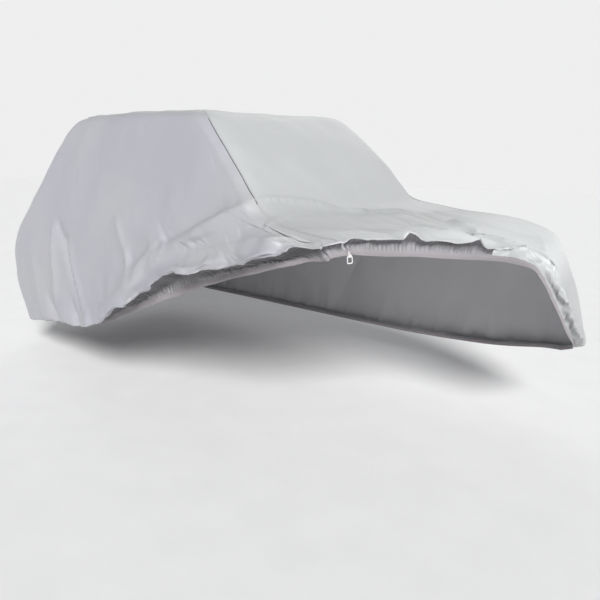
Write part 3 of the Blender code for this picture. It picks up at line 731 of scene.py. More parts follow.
    def round_springs(
        self, points: Array, free: Array, length: Array, share: float, gap: int
    ) -> Array:
        """Works the springs between columns that lie a gap of one or two apart."""
        for first in range(2):
            turned = np.roll(points, -first * gap, axis=0)
            weight = np.roll(free, -first * gap, axis=0)
            rest = np.roll(length, -first * gap, axis=0)
            for offset in range(gap):
                low, high = slice(offset, None, 2 * gap), slice(offset + gap, None, 2 * gap)
                self.pull(turned[low], turned[high], rest[low], (weight[low], weight[high]), share)
            points = np.roll(turned, first * gap, axis=0)
        return points

    def upward_springs(
        self, points: Array, free: Array, length: Array, share: float, gap: int
    ) -> None:
        """Works the springs between rows that lie a gap of one or two apart, in place."""
        step, last = gap + 1, points.shape[1] - gap
        for first in range(step):
            low, high = slice(first, last, step), slice(first + gap, None, step)
            ends = (free[:, low], free[:, high])
            self.pull(points[:, low], points[:, high], length[:, first::step], ends, share)

    def slanting_springs(self, points: Array, free: Array, across: list[Array]) -> Array:
        """Works the springs across each small square of the cloth."""
        lower, upper = slice(0, -1), slice(1, None)
        for first in range(2):
            turned = np.roll(points, -first, axis=0)
            weight = np.roll(free, -first, axis=0)
            for low, high, length in zip((lower, upper), (upper, lower), across):
                ends = (weight[0::2, low], weight[1::2, high])
                rest = np.roll(length, -first, axis=0)[0::2]
                self.pull(turned[0::2, low], turned[1::2, high], rest, ends, self.shear)
            points = np.roll(turned, first, axis=0)
        return points


@dataclass
class Creasing:
    """Ridges with fine edges: the placed folds of the table, and small creases anywhere."""

    edge_round: float = 0.03
    narrowest: float = 0.011
    run_out: float = 0.15
    fading: float = 0.6
    steepness: float = 1.3
    count: int = 90
    length: tuple[float, float] = (0.06, 0.24)
    width: tuple[float, float] = (0.008, 0.018)
    rise: tuple[float, float] = (0.0012, 0.0030)
    reach: float = 0.30
    upright: float = 1.3
    seed: int = 5

    def placed(self, points: Array, normals: Array, share: float, breadth: float) -> Array:
        """How far the placed folds push each point outwards.

        Args:
            points: points of the form.
            normals: the form's outward normals there.
            share: how much of each fold's rise counts.
            breadth: how wide the folds are drawn, as a share of their width.

        Returns:
            One distance for each point.
        """
        rise = np.zeros(len(points))
        for fold in FOLDS:
            start = np.array([fold.x0, fold.y0, fold.height0 - HELD_HEIGHT])
            run = np.array([fold.x1, fold.y1, fold.height1 - HELD_HEIGHT]) - start
            widths = (fold.left, fold.right)
            rise += share * fold.rise * self.ridge(points, normals, start, run, widths, breadth)
        return rise

    def ridge(
        self,
        points: Array,
        normals: Array,
        start: Array,
        run: Array,
        widths: tuple[float, float],
        breadth: float,
    ) -> Array:
        """A ridge with a fine edge along a run, which fades towards both ends; 1 at its top."""
        out = self.run_out
        part = np.clip((points - start) @ run / (run @ run), -out, 1 + out)
        away = points - start - part[:, None] * run
        left = np.sum(away * np.cross(normals, run), axis=1) > 0
        width = np.maximum(np.where(left, *widths) * breadth, self.narrowest)
        distance = np.sqrt(np.sum(away * away, axis=1) / width**2 + self.edge_round)
        fading = np.sin(math.pi * (part + out) / (1 + 2 * out)) ** self.fading
        return fading * np.exp(-self.steepness * (distance - math.sqrt(self.edge_round)))

    def small(self, points: Array, normals: Array) -> Array:
        """Short fine creases, as packed and pulled cloth has them, with a fixed seed."""
        numbers = np.random.default_rng(self.seed)
        rise = np.zeros(len(points))
        for start in points[numbers.choice(len(points), self.count)]:
            way = unit(numbers.normal(size=3) * (1.0, 1.0, self.upright))
            run = way * numbers.uniform(*self.length)
            near = np.linalg.norm(points - start - run / 2, axis=1) < self.reach
            widths = (numbers.uniform(*self.width), numbers.uniform(*self.width))
            height = numbers.choice((-1.0, 1.0)) * numbers.uniform(*self.rise)
            made = self.ridge(points[near], normals[near], start, run, widths, 1.0)
            rise[near] += height * made
        return rise


@dataclass
class PaintedLight:
    """Painted light: where the cloth is drawn lighter than its own colour, in place of real light.
    """

    lighter_side: tuple[float, float] = (0.80, 1.54)
    side_height: float = 1.06
    glass_share: float = 0.25
    at_nose: Ramp = Ramp(1.15, 0.40)
    nose_height: Ramp = Ramp(0.64, 0.18)
    past_glass: Ramp = Ramp(0.05, 0.35)

    def side(self, points: Array) -> Array:
        """Painted light on the side cloth, drawing it to the centre's lighter colour, from 0 to 1.
        """
        height = points[:, 2] + HELD_HEIGHT
        start, slope = self.lighter_side
        ahead = points[:, 0] - start - slope * np.clip(1.0 - height, -0.05, 1.0)
        low = smooth((self.side_height - height) / 0.06)
        return smooth(ahead / 0.16 + 0.5) * smooth((0.80 - points[:, 1]) / 0.1) * low

    def centre(self, points: Array) -> Array:
        """Painted light on the centre cloth: some on the glass, more at the nose, painted shade
        just below the glass.
        """
        ahead = points[:, 0] - np.interp(points[:, 1], *zip(*GLASS_FOOT))
        on_glass = 1 - smooth(ahead / 0.02 + 0.5)
        at_nose = self.at_nose.at(points[:, 0]) * self.nose_height.at(points[:, 2] + HELD_HEIGHT)
        paler = np.maximum(at_nose, self.glass_share * self.past_glass.at(ahead))
        return self.glass_share * on_glass + (1 - on_glass) * paler


@dataclass
class CoverGrid:
    """The whole cloth as one fine welded grid, from which each panel takes its faces.

    Long and wide are the columns of a long side and of the nose or tail. The rows are those of the
    hem band, the strip under the lip, over it, above it, the rest of the side and the shoulder.
    Next come how the lip hangs, where the cloth is held and where it may hang loose, how strong
    the folds are drawn, and how wide and how high the whole may stand.
    """

    form: CoverForm
    creasing: Creasing
    long: int = 280
    wide: int = 200
    band_rows: int = 4
    shoulder_rows: int = 6
    side_rows: int = 60
    side_growth: float = 1.2
    over_lip: float = 1.3
    over_rows: int = 5
    above_lip: float = 0.178
    above_rows: int = 15
    above_growth: float = 1.25
    way_steps: int = 260
    lip_past_edge: tuple[float, float] = (1.12, 0.010)
    lip_ragged: float = 0.06
    sag_ragged: float = 0.35
    edge_jagged: float = 0.13
    lip_fade: float = 0.22
    tuck: float = 0.42
    highest_lip: float = 0.045
    unevenness: float = 0.0030
    uneven_from_hem: float = 0.12
    ease_reach: float = 0.06
    slack_ends: Ramp = Ramp(0.05, 0.20)
    low_hold: tuple[float, Ramp] = (0.03, Ramp(0.22, 0.35))
    high_hold: tuple[float, Ramp] = (0.2, Ramp(0.98, 0.2))
    room: tuple[tuple[float, float], ...] = (
        (0, 0.0),
        (BAND_WIDTH, 0.001),
        (0.06, 0.006),
        (0.12, 0.010),
    )
    stir: float = 0.0014
    lowest_share: float = 0.8
    folds_from: tuple[float, float] = (1.2, 0.03)
    fold_share: float = 2.0
    crease_share: float = 1.1
    crease_breadth: float = 0.5
    # The facing's painted shade under the lip: the least height of the strip, and how it grows
    # darker.
    shallow: float = 0.010
    shade_deepens: Ramp = Ramp(0.15, 0.75)
    # How far from the hem the painted light fades in.
    painted_light_from_hem: float = 0.13
    widest: float = 0.755
    widest_give: float = 0.020
    crown: float = 0.6
    crown_height: float = 2 * MM

    def spacing(self, side: Side) -> Array:
        """Where the columns of a side stand, closer where the hem is gathered in view."""
        count = self.long if side in (Side.NEAR, Side.FAR) else self.wide
        places = np.linspace(0, 1, 2001)
        density = np.interp(places, *zip(*CLOSENESS[side]))
        total = np.concatenate([[0], np.cumsum((density[1:] + density[:-1]) / 2)])
        return np.interp(np.arange(count) / count, total / total[-1], places)

    def rows_from_hem(self, lip: float) -> Array:
        """Distances from the hem of the rows that follow the lip."""
        band = np.linspace(0, BAND_WIDTH, self.band_rows + 1)
        strip = BAND_WIDTH + np.array(STRIP_ROWS) * (lip - BAND_WIDTH)
        over = lip * np.linspace(1, self.over_lip, self.over_rows + 1)[1:]
        climbing = np.linspace(0, 1, self.above_rows + 1)[1:] ** self.above_growth
        return np.concatenate([band, strip, over, self.over_lip * lip + self.above_lip * climbing])

    def climb(self, side: Side, along: float, lip: float, slant: float) -> tuple[Array, Array]:
        """The levels of a column's points, and how far each lies from the hem."""
        form = self.form
        rows = self.rows_from_hem(lip)
        slanting = (slant - 1) * np.minimum(rows, self.over_lip * lip)
        steps = np.linspace(level_of(form.hem_at(side, along)[0]), form.seam_level, self.way_steps)
        travelled = distance_along(form.point(side, np.full(len(steps), along), steps))
        start = (rows + slanting)[-1]
        rest = (np.arange(1, self.side_rows + 1) / self.side_rows) ** self.side_growth
        wanted = np.concatenate([rows + slanting, start + (travelled[-1] - start) * rest])
        from_hem = np.concatenate([rows, wanted[len(rows) :] - slanting[-1]])
        shoulder = np.linspace(form.seam_level, len(LEVELS) - 1, self.shoulder_rows + 1)[1:]
        levels = np.concatenate([np.interp(wanted, travelled, steps), shoulder])
        return levels, np.concatenate([from_hem, np.full(self.shoulder_rows, from_hem[-1])])

    def column(self, side: Side, along: float, round_it: float) -> tuple[Array, Array, Array]:
        """One column of the cloth from the hem up to the flat of the roof.

        Args:
            side: the side it stands on.
            along: its place on that side, from 0 to 1.
            round_it: its distance round the hem.

        Returns:
            Its points, their distances from the hem and the form's normals there.
        """
        form = self.form
        _, sink, lip, puff, sag = form.hem_at(side, along)[:5]
        ragged = ripple(RAGGED, round_it)
        edge = float(form.lip_edge(side, along))
        past, more = self.lip_past_edge
        lip = max(lip, past * edge + more) * (1 + self.lip_ragged * ragged)
        slant = form.slant(side, along)
        levels, from_hem = self.climb(side, along, lip, slant)
        there = np.full(len(levels), along)
        points = form.point(side, there, levels)
        normals = form.even_normals(side, along, levels)
        _, down = form.axes(side, there, levels)
        upright = np.clip(normals[0][2], 0.0, 1.0) ** 2
        strip = (from_hem - BAND_WIDTH) / (lip - BAND_WIDTH)
        tucked = smooth((strip - self.tuck * (1 - upright)) / (1 - self.tuck * (1 - upright)))
        standing = np.interp(from_hem, (0, BAND_WIDTH, lip), (0, BAND_WIDTH / sink, 1))
        risen = tucked + upright * (standing - tucked)
        fading = 1 - smooth((from_hem - lip) / (self.lip_fade - lip))
        hanging = tucked * fading
        stands = np.clip(edge - sink - puff, 0.0, self.highest_lip) * upright
        out = (puff + stands) * hanging - sink * (1 - risen)
        over_hem = upright * slant * np.minimum(from_hem, lip) * fading
        forward = over_hem + sag * hanging * (1 + self.sag_ragged * ragged)
        moved = points + out[:, None] * normals + forward[:, None] * down
        folds = tucked * self.creasing.placed(points, normals, self.fold_share, 1.0)
        return moved + folds[:, None] * normals, from_hem, normals

    def ripples(self, waves: Sequence[Wave]) -> Array:
        """The height of waves at every column."""
        return np.array([ripple(waves, place) for place in self.round_it])

    def crisp(self, skirt: Array, normals: Array, hem: Hem) -> Array:
        """Adds what is finer than the settled form: pleats at the hem and the edges of folds."""
        points, ways = skirt.reshape(-1, 3), normals.reshape(-1, 3)
        edges, over = self.folds_from
        shown = smooth((self.from_hem - edges * self.edge[:, None]) / over)
        fine = self.creasing.placed(points, ways, self.crease_share, self.crease_breadth)
        fine = fine + self.creasing.small(points, ways)
        rise = shown * fine.reshape(shown.shape) + self.gathers(hem)
        crisp = skirt + rise[:, :, None] * normals
        beyond = np.abs(crisp[:, :, 1]) - self.widest
        limited = self.widest + self.widest_give * np.tanh(beyond / self.widest_give)
        crisp[:, :, 1] = np.where(beyond > 0, np.sign(crisp[:, :, 1]) * limited, crisp[:, :, 1])
        return crisp

    def settle(self, skirt: Array, normals: Array, hem: Hem) -> Array:
        """Gives the cloth round the car its spare length and lets it settle on the form.

        Args:
            skirt: the columns' points.
            normals: the form's normals at them.
            hem: the hem's numbers for each column.

        Returns:
            The settled points.
        """
        near_hem = self.from_hem - BAND_WIDTH
        dying = 1 - smooth(near_hem / (hem.reach[:, None] + self.ease_reach))
        round_slack = hem.ease[:, None] * dying**2
        slack = hem.slack * (1 + self.ripples(SLACK_WAVE))
        up_slack = slack[:, None] * (1 - self.slack_ends.at(near_hem))
        (low, low_ramp), (high, high_ramp) = self.low_hold, self.high_hold
        anchor = low * low_ramp.at(self.from_hem)
        anchor = anchor + high * high_ramp.at(skirt[:, :, 2] + HELD_HEIGHT)
        anchor[:, : self.band_rows + 1] = 1.0
        anchor[:, self.rows - 1 - self.shoulder_rows :] = 1.0
        room = np.interp(self.from_hem, *zip(*self.room))
        small = Softness(waves=30, shortest=0.025, longest=0.11, seed=3)
        stirred = small.height(skirt.reshape(-1, 3)).reshape(skirt.shape[:2])
        stir = self.stir * stirred * dying * (1 - np.minimum(anchor, 1))
        start = skirt + stir[:, :, None] * normals
        stays = self.edge * (1 + self.edge_jagged * self.ripples(JAGGED))
        lowest = np.minimum(self.from_hem * self.lowest_share, stays[:, None])
        return Drape().settle(start, normals, room, round_slack, up_slack, anchor, lowest)

    def gathers(self, hem: Hem) -> Array:
        """How far the pleats that the elastic draws up push each point of the skirt outwards."""
        reach = hem.reach * (1 + self.ripples(PLEAT_REACH))
        held = smooth((self.from_hem - 0.6 * BAND_WIDTH) / BAND_WIDTH)
        above = self.from_hem - 0.5 * hem.lip[:, None]
        fine = self.ripples(FINE_PLEATS)[:, None] * (1 - smooth(above / reach[:, None]))
        wide = self.ripples(WIDE_PLEATS)[:, None] * (1 - smooth(above / (2.0 * reach)[:, None]))
        return hem.gather[:, None] * held * (fine + wide)

    def build(self) -> None:
        """Works out the points, normals and flat places of the whole cloth."""
        along = {side: self.spacing(side) for side in Side}
        numbers = {side: self.form.hem_at(side, along[side]) for side in Side}
        line = [self.form.point(side, along[side], level_of(numbers[side][0])) for side in Side]
        line = np.concatenate(line)
        steps = np.linalg.norm(np.roll(line, -1, axis=0) - line, axis=1)
        self.round_it = np.concatenate([[0], np.cumsum(steps)[:-1]])
        self.hem_length = float(steps.sum())
        found = []
        for side in Side:
            for place in along[side]:
                found.append(self.column(side, place, self.round_it[len(found)]))
        skirt, self.from_hem, form_normals = (np.array(part) for part in zip(*found))
        self.count, self.rows = skirt.shape[:2]
        self.skirt_size = self.count * self.rows
        hem = Hem(None, None, *np.concatenate(list(numbers.values()), axis=1))
        places = np.concatenate([side.value + along[side] for side in Side])
        self.edge = np.concatenate([self.form.lip_edge(side, along[side]) for side in Side])
        self.faced = (places > FACING_PLACES[0]) & (places < FACING_PLACES[1])
        skirt = self.settle(skirt, form_normals, hem)
        skirt = self.crisp(skirt, form_normals, hem)
        roof = self.roof(skirt[:, -1])
        self.roof_shape = (roof.shape[0] - 1, roof.shape[1] - 1)
        inner = roof[1:-1, 1:-1].reshape(-1, 3)
        self.points = np.concatenate([skirt.reshape(-1, 3), inner])
        self.faces = self.skirt_faces() + self.roof_faces()
        self.normals = self.vertex_normals()
        soft = Softness().height(self.points) * self.unevenness
        shown = np.ones(len(self.points))
        shown[: self.skirt_size] = smooth(self.from_hem.reshape(-1) / self.uneven_from_hem)
        self.points = self.points + (soft * shown)[:, None] * self.normals
        self.normals = self.vertex_normals()
        flat_u = np.repeat(self.round_it, self.rows)
        skirt_flat = np.stack([flat_u, self.from_hem.reshape(-1)], axis=1)
        self.flat = np.concatenate([skirt_flat, inner[:, :2]])

    def roof(self, top: Array) -> Array:
        """The roof's grid, at half the skirt's fineness, spanned between the skirt's top row."""
        long, wide = self.long, self.wide
        top = np.concatenate([top, top[:1]])
        near = top[: long + 1 : 2]
        nose = top[long : long + wide + 1 : 2]
        far = top[long + wide : 2 * long + wide + 1 : 2][::-1]
        tail = top[2 * long + wide :: 2][::-1]
        u = np.linspace(0, 1, long // 2 + 1)[:, None, None]
        v = np.linspace(0, 1, wide // 2 + 1)[None, :, None]
        across = (1 - v) * near[:, None] + v * far[:, None]
        lengthways = (1 - u) * tail[None] + u * nose[None]
        tail_corners = (1 - v) * near[0] + v * far[0]
        nose_corners = (1 - v) * near[-1] + v * far[-1]
        grid = across + lengthways - ((1 - u) * tail_corners + u * nose_corners)
        bump = ((1 - (2 * u - 1) ** 2) * (1 - (2 * v - 1) ** 2))[:, :, 0]
        rise = self.crown_height - grid[long // 4, wide // 4, 2]
        grid[:, :, 2] += rise * bump**self.crown
        return grid

    def index(self, column: int, row: int) -> int:
        """The vertex of the skirt in a column and row."""
        return (column % self.count) * self.rows + row

    def roof_index(self, place: int, across: int) -> int:
        """The vertex at a place of the roof's grid, which on its rim belongs to the skirt."""
        long, wide = self.long, self.wide
        last = self.rows - 1
        if across == 0:
            return self.index(2 * place, last)
        if place == self.roof_shape[0]:
            return self.index(long + 2 * across, last)
        if across == self.roof_shape[1]:
            return self.index(2 * long + wide - 2 * place, last)
        if place == 0:
            return self.index(2 * (long + wide) - 2 * across, last)
        return self.skirt_size + (place - 1) * (self.roof_shape[1] - 1) + across - 1

    def skirt_faces(self) -> list[tuple[str, tuple[int, ...]]]:
        """The faces round the car, each with the name of its panel."""
        faces = []
        for column in range(self.count):
            for row in range(self.band_rows // 2, self.rows - 1):
                corners = (
                    self.index(column, row),
                    self.index(column + 1, row),
                    self.index(column + 1, row + 1),
                    self.index(column, row + 1),
                )
                faces.append((self.panel_of(column, row), corners))
        return faces

    def panel_of(self, column: int, row: int) -> str:
        """The panel that a face of the skirt belongs to."""
        long, wide = self.long, self.wide
        if column >= 2 * long + wide:
            return "tail_cloth"
        if row >= self.rows - 1 - self.shoulder_rows:
            return "roof_and_front_cloth"
        if column < long:
            return "near_side_cloth"
        return "roof_and_front_cloth" if column < long + wide else "far_side_cloth"

    def roof_faces(self) -> list[tuple[str, tuple[int, ...]]]:
        """The faces of the roof, those at its rim with the skirt's halfway points."""
        faces = []
        last_row = self.rows - 1
        long, wide = self.long, self.wide
        for place in range(self.roof_shape[0]):
            for across in range(self.roof_shape[1]):
                ring = [self.roof_index(place, across)]
                if across == 0:
                    ring.append(self.index(2 * place + 1, last_row))
                ring.append(self.roof_index(place + 1, across))
                if place == self.roof_shape[0] - 1:
                    ring.append(self.index(long + 2 * across + 1, last_row))
                ring.append(self.roof_index(place + 1, across + 1))
                if across == self.roof_shape[1] - 1:
                    ring.append(self.index(2 * long + wide - 2 * place - 1, last_row))
                ring.append(self.roof_index(place, across + 1))
                if place == 0:
                    ring.append(self.index(2 * (long + wide) - 2 * across - 1, last_row))
                faces.append(("roof_and_front_cloth", tuple(ring)))
        return faces

    def vertex_normals(self) -> Array:
        """Area-weighted normals of the whole welded cloth."""
        normals = np.zeros_like(self.points)
        corners = np.array([self.four_of(face) for _, face in self.faces])
        place = self.points[corners]
        area = np.cross(place[:, 2] - place[:, 0], place[:, 3] - place[:, 1])
        for corner in range(4):
            np.add.at(normals, corners[:, corner], area)
        length = np.linalg.norm(normals, axis=1, keepdims=True)
        return normals / np.where(length > 0, length, 1)

    def four_of(self, face: tuple[int, ...]) -> tuple[int, ...]:
        """Four corners, evenly spread, of a face that may have more."""
        return tuple(face[i * len(face) // 4] for i in range(4))

    def is_facing(self, vertex: int) -> bool:
        """Whether a face that starts at a vertex lies on the facing under the lip."""
        if vertex >= self.skirt_size:
            return False
        column, row = divmod(vertex, self.rows)
        return bool(self.faced[column]) and row < self.band_rows + FACING_ROWS

    def painted_light_kept(self, vertices: Sequence[int]) -> Array:
        """How much of the painted light each vertex keeps, from 0 at the hem, which leaves a
        painted shade there, to 1 clear of it.
        """
        clear = np.ones(len(self.points))
        clear[: self.skirt_size] = smooth(self.from_hem / self.painted_light_from_hem).reshape(-1)
        return clear[list(vertices)]

    def depth(self, vertices: Sequence[int]) -> Array:
        """The facing's painted shade: how deep under the lip each vertex lies, from 0 at the hem
        band to 1 below the lip.
        """
        deep = np.zeros(len(self.points))
        tall = np.maximum(self.edge - BAND_WIDTH, self.shallow)
        strip = (self.from_hem - BAND_WIDTH) / tall[:, None]
        deep[: self.skirt_size] = self.shade_deepens.at(strip).reshape(-1)
        return deep[list(vertices)]

    def rail(self, place: float) -> tuple[Array, Array]:
        """Points and normals of the closed line at a distance from the hem, on the hem band."""
        row = place / BAND_WIDTH * self.band_rows
        low = min(int(row), self.band_rows - 1)
        part = row - low
        index = np.arange(self.count) * self.rows + low
        points = (1 - part) * self.points[index] + part * self.points[index + 1]
        return points, self.band_normals()

    def band_normals(self) -> Array:
        """Outward normals of the hem band, one for each column."""
        base = np.arange(self.count) * self.rows
        foot = self.points[base]
        up = self.points[base + self.band_rows] - foot
        round_it = np.roll(foot, -1, axis=0) - np.roll(foot, 1, axis=0)
        return unit(np.cross(round_it, up))


@dataclass(frozen=True)
class ClothFinish:
    """Coated woven cloth: colour with soft patches, satin gloss, fine weave and small crinkles."""

    name: str
    colour: tuple[float, float, float]
    patch: tuple[float, float, float]
    roughness: float = 0.45
    sheen: float = 0.1
    sheen_roughness: float = 0.4
    specular: float = 0.45
    weave: float = 1.1 * MM
    weave_depth: float = 0.25
    weave_height: float = 0.15 * MM
    weave_share: float = 0.10
    patch_scale: float = 2.6
    patch_range: tuple[float, float] = (0.38, 0.66)
    gloss_range: tuple[float, float] = (-0.05, 0.07)
    crinkle: float = 0.22
    crinkle_scale: float = 24.0
    crinkle_height: float = 2 * MM
    # The colour that painted light and shade draw the cloth towards, by the attribute named below.
    towards: tuple[float, float, float] | None = None
    painted_light_and_shade_by: str = "painted_light_and_shade"
    gather: float = 0.0
    gather_height: float = 4 * MM
    gather_drawn_out: float = 0.16

    def material(self) -> bpy.types.Material:
        """The finish as a material."""
        made = bpy.data.materials.new(self.name)
        made.use_nodes = True
        tree = made.node_tree
        place = add_node(tree, "ShaderNodeTexCoord", "Object", {})
        flat = add_node(tree, "ShaderNodeUVMap", "UV", {}, uv_map="flat")
        noise = {"Scale": self.patch_scale, "Detail": 4.0, "Vector": place}
        patches = add_node(tree, "ShaderNodeTexNoise", "Fac", noise)
        low, high = self.patch_range
        drift = {"From Min": low, "From Max": high, "Value": patches}
        share = add_node(tree, "ShaderNodeMapRange", "Result", drift)
        colour = mix_colours(tree, (*self.colour, 1), (*self.patch, 1), share)
        # Painted light and shade: an attribute draws the colour towards the finish's second colour.
        if self.towards:
            painted_light_and_shade = add_node(tree, "ShaderNodeAttribute", "Fac", {}, attribute_name=self.painted_light_and_shade_by)
            colour = mix_colours(tree, colour, (*self.towards, 1), painted_light_and_shade)
        threads = self.threads(tree, flat)
        duller, glossier = (self.roughness + part for part in self.gloss_range)
        gloss = {"To Min": duller, "To Max": glossier, "Value": patches}
        noise = {"Scale": self.crinkle_scale, "Detail": 3.0, "Distortion": 0.6, "Vector": place}
        crinkles = add_node(tree, "ShaderNodeTexNoise", "Fac", noise)
        bump = {"Strength": self.crinkle, "Distance": self.crinkle_height, "Height": crinkles}
        if self.gather:
            bump["Normal"] = self.drawn_up(tree, flat)
        crinkled = add_node(tree, "ShaderNodeBump", "Normal", bump)
        bump = {"Strength": self.weave_depth, "Distance": self.weave_height, "Height": threads}
        shader = {
            "Base Color": mix_colours(tree, colour, threads, self.weave_share, "MULTIPLY"),
            "Roughness": add_node(tree, "ShaderNodeMapRange", "Result", gloss),
            "Normal": add_node(tree, "ShaderNodeBump", "Normal", bump | {"Normal": crinkled}),
            "Sheen Weight": self.sheen,
            "Sheen Roughness": self.sheen_roughness,
            "Specular IOR Level": self.specular,
        }
        set_inputs(tree, tree.nodes["Principled BSDF"], shader)
        return made

    def drawn_up(
        self, tree: bpy.types.NodeTree, flat: bpy.types.NodeSocket
    ) -> bpy.types.NodeSocket:
        """The normal of cloth drawn into small upright gathers by the elastic."""
        stretch = {"Scale": (1.0, self.gather_drawn_out, 1.0), "Vector": flat}
        wave = {
            "Vector": add_node(tree, "ShaderNodeMapping", "Vector", stretch),
            "Scale": WAVE_SCALE / self.gather,
            "Distortion": 2.4,
            "Detail": 1.0,
            "Detail Scale": 0.8,
        }
        height = add_node(tree, "ShaderNodeTexWave", "Fac", wave, bands_direction="X")
        bump = {"Strength": 1.0, "Distance": self.gather_height, "Height": height}
        return add_node(tree, "ShaderNodeBump", "Normal", bump)

    def threads(
        self, tree: bpy.types.NodeTree, flat: bpy.types.NodeSocket
    ) -> bpy.types.NodeSocket:
        """The height of crossing warp and weft threads."""
        wave = {"Scale": WAVE_SCALE / self.weave, "Distortion": 0.4, "Vector": flat}
        crossing = {
            number: add_node(tree, "ShaderNodeTexWave", "Fac", wave, bands_direction=way)
            for number, way in enumerate("XY")
        }
        return add_node(tree, "ShaderNodeMath", "Value", crossing, operation="MAXIMUM")


@dataclass(frozen=True)
class PlainFinish:
    """Thread or moulded plastic: one colour with a slight grain."""

    name: str
    colour: tuple[float, float, float]
    roughness: float
    grain: float
    grain_scale: float
    darkest: float = 0.93
    gloss_give: float = 0.06
    grain_height: float = 0.2 * MM

    def material(self) -> bpy.types.Material:
        """The finish as a material."""
        made = bpy.data.materials.new(self.name)
        made.use_nodes = True
        tree = made.node_tree
        place = add_node(tree, "ShaderNodeTexCoord", "Object", {})
        noise = {"Scale": self.grain_scale, "Detail": 3.0, "Vector": place}
        grain = add_node(tree, "ShaderNodeTexNoise", "Fac", noise)
        darker = (*(self.darkest * part for part in self.colour), 1)
        less, more = self.roughness - self.gloss_give, self.roughness + self.gloss_give
        gloss = {"To Min": less, "To Max": more, "Value": grain}
        bump = {"Strength": self.grain, "Distance": self.grain_height, "Height": grain}
        shader = {
            "Base Color": mix_colours(tree, darker, (*self.colour, 1), grain),
            "Roughness": add_node(tree, "ShaderNodeMapRange", "Result", gloss),
            "Normal": add_node(tree, "ShaderNodeBump", "Normal", bump),
        }
        set_inputs(tree, tree.nodes["Principled BSDF"], shader)
        return made


# The side cloth's painted light draws it towards a lighter colour near the glass.
SIDE_CLOTH = ClothFinish(
    "side_cloth_outside",
    (0.400, 0.400, 0.445),
    (0.425, 0.428, 0.448),
    towards=(0.440, 0.448, 0.452),
)
# The centre cloth's painted light draws it paler on the glass and at the nose, less so just below
# the glass.
CENTRE_CLOTH = ClothFinish(
    "centre_cloth_outside",
    (0.405, 0.415, 0.422),
    (0.430, 0.440, 0.442),
    towards=(0.640, 0.656, 0.658),
)
# The cloth under the lip, with painted shade: darker than the side cloth, and darker still deeper
# under the lip.
SHADED_FACING = ClothFinish(
    "facing_cloth_painted_shade",
    (0.330, 0.322, 0.340),
    (0.280, 0.272, 0.290),
    roughness=0.60,
    towards=(0.120, 0.116, 0.125),
    painted_light_and_shade_by="depth",
    gather=19 * MM,
)
# Painted shade for one flank of the seam ridge beside the glass.
SEAM_SHADE = ClothFinish("seam_flank_painted_shade", (0.085, 0.085, 0.092), (0.07, 0.07, 0.08), roughness=0.7)
LINING = ClothFinish(
    "cloth_inside", (0.50, 0.50, 0.52), (0.46, 0.46, 0.48), roughness=0.8, sheen=0.2
)
BINDING = ClothFinish(
    "hem_binding_cloth",
    (0.34, 0.315, 0.33),
    (0.29, 0.27, 0.285),
    roughness=0.7,
    sheen=0.2,
    weave=0.9 * MM,
    weave_depth=0.4,
)
WEBBING = ClothFinish(
    "webbing_weave",
    (0.70, 0.69, 0.67),
    (0.64, 0.63, 0.62),
    roughness=0.75,
    sheen=0.2,
    weave=1.6 * MM,
    weave_depth=0.9,
)
THREAD = PlainFinish("sewing_thread", (0.40, 0.39, 0.41), 0.6, 0.3, 900.0)
DARK_THREAD = PlainFinish("dark_thread", (0.16, 0.16, 0.17), 0.6, 0.3, 900.0)
CLIP_PLASTIC = PlainFinish("moulded_plastic", (0.78, 0.78, 0.77), 0.34, 0.15, 260.0)


def add_mesh(name: str, points: Array, faces: Sequence, materials: Sequence) -> bpy.types.Object:
    """A mesh object in the scene, shaded smooth but sharp at its edges."""
    mesh = bpy.data.meshes.new(name)
    mesh.from_pydata(np.asarray(points).tolist(), [], faces)
    mesh.update()
    mesh.shade_smooth()
    mesh.set_sharp_from_angle(angle=SHARP_FROM)
    for material in materials:
        mesh.materials.append(material)
    piece = bpy.data.objects.new(name, mesh)
    bpy.context.scene.collection.objects.link(piece)
    return piece


def set_flat(mesh: bpy.types.Mesh, flat: Array) -> None:
    """Gives each corner its flat place on the cloth, in metres, as a UV map."""
    layer = mesh.uv_layers.new(name="flat")
    vertices = np.zeros(len(mesh.loops), np.int32)
    mesh.loops.foreach_get("vertex_index", vertices)
    layer.uv.foreach_set("vector", flat[vertices].astype(np.float32).reshape(-1))


def set_swept_flat(mesh: bpy.types.Mesh, run: Array, spread: Sequence[float]) -> None:
    """Gives a swept piece its flat places: the run along its line, and across its section."""
    set_flat(mesh, np.stack([np.tile(run, len(spread)), np.repeat(spread, len(run))], axis=1))


@dataclass(frozen=True)
class Cut:
    """A cut of the cloth: the nodes it stands for, its slot, and its size laid flat."""

    name: str
    nodes: tuple[str, ...]
    slot: str
    flat: tuple[float, float]
    area: float


CUTS = (
    Cut("near_side_cloth", ("near_side_panel",), "side_cloth", (2.3, 1.2), 1.95),
    Cut("far_side_cloth", ("far_side_panel",), "side_cloth", (3.0, 1.25), 2.95),
    Cut(
        "roof_and_front_cloth",
        ("roof_panel", "windscreen_panel", "bonnet_panel"),
        "centre_cloth",
        (3.3, 1.3),
        2.85,
    ),
    Cut("tail_cloth", ("tail_panel",), "centre_cloth", (1.45, 1.35), 1.8),
)


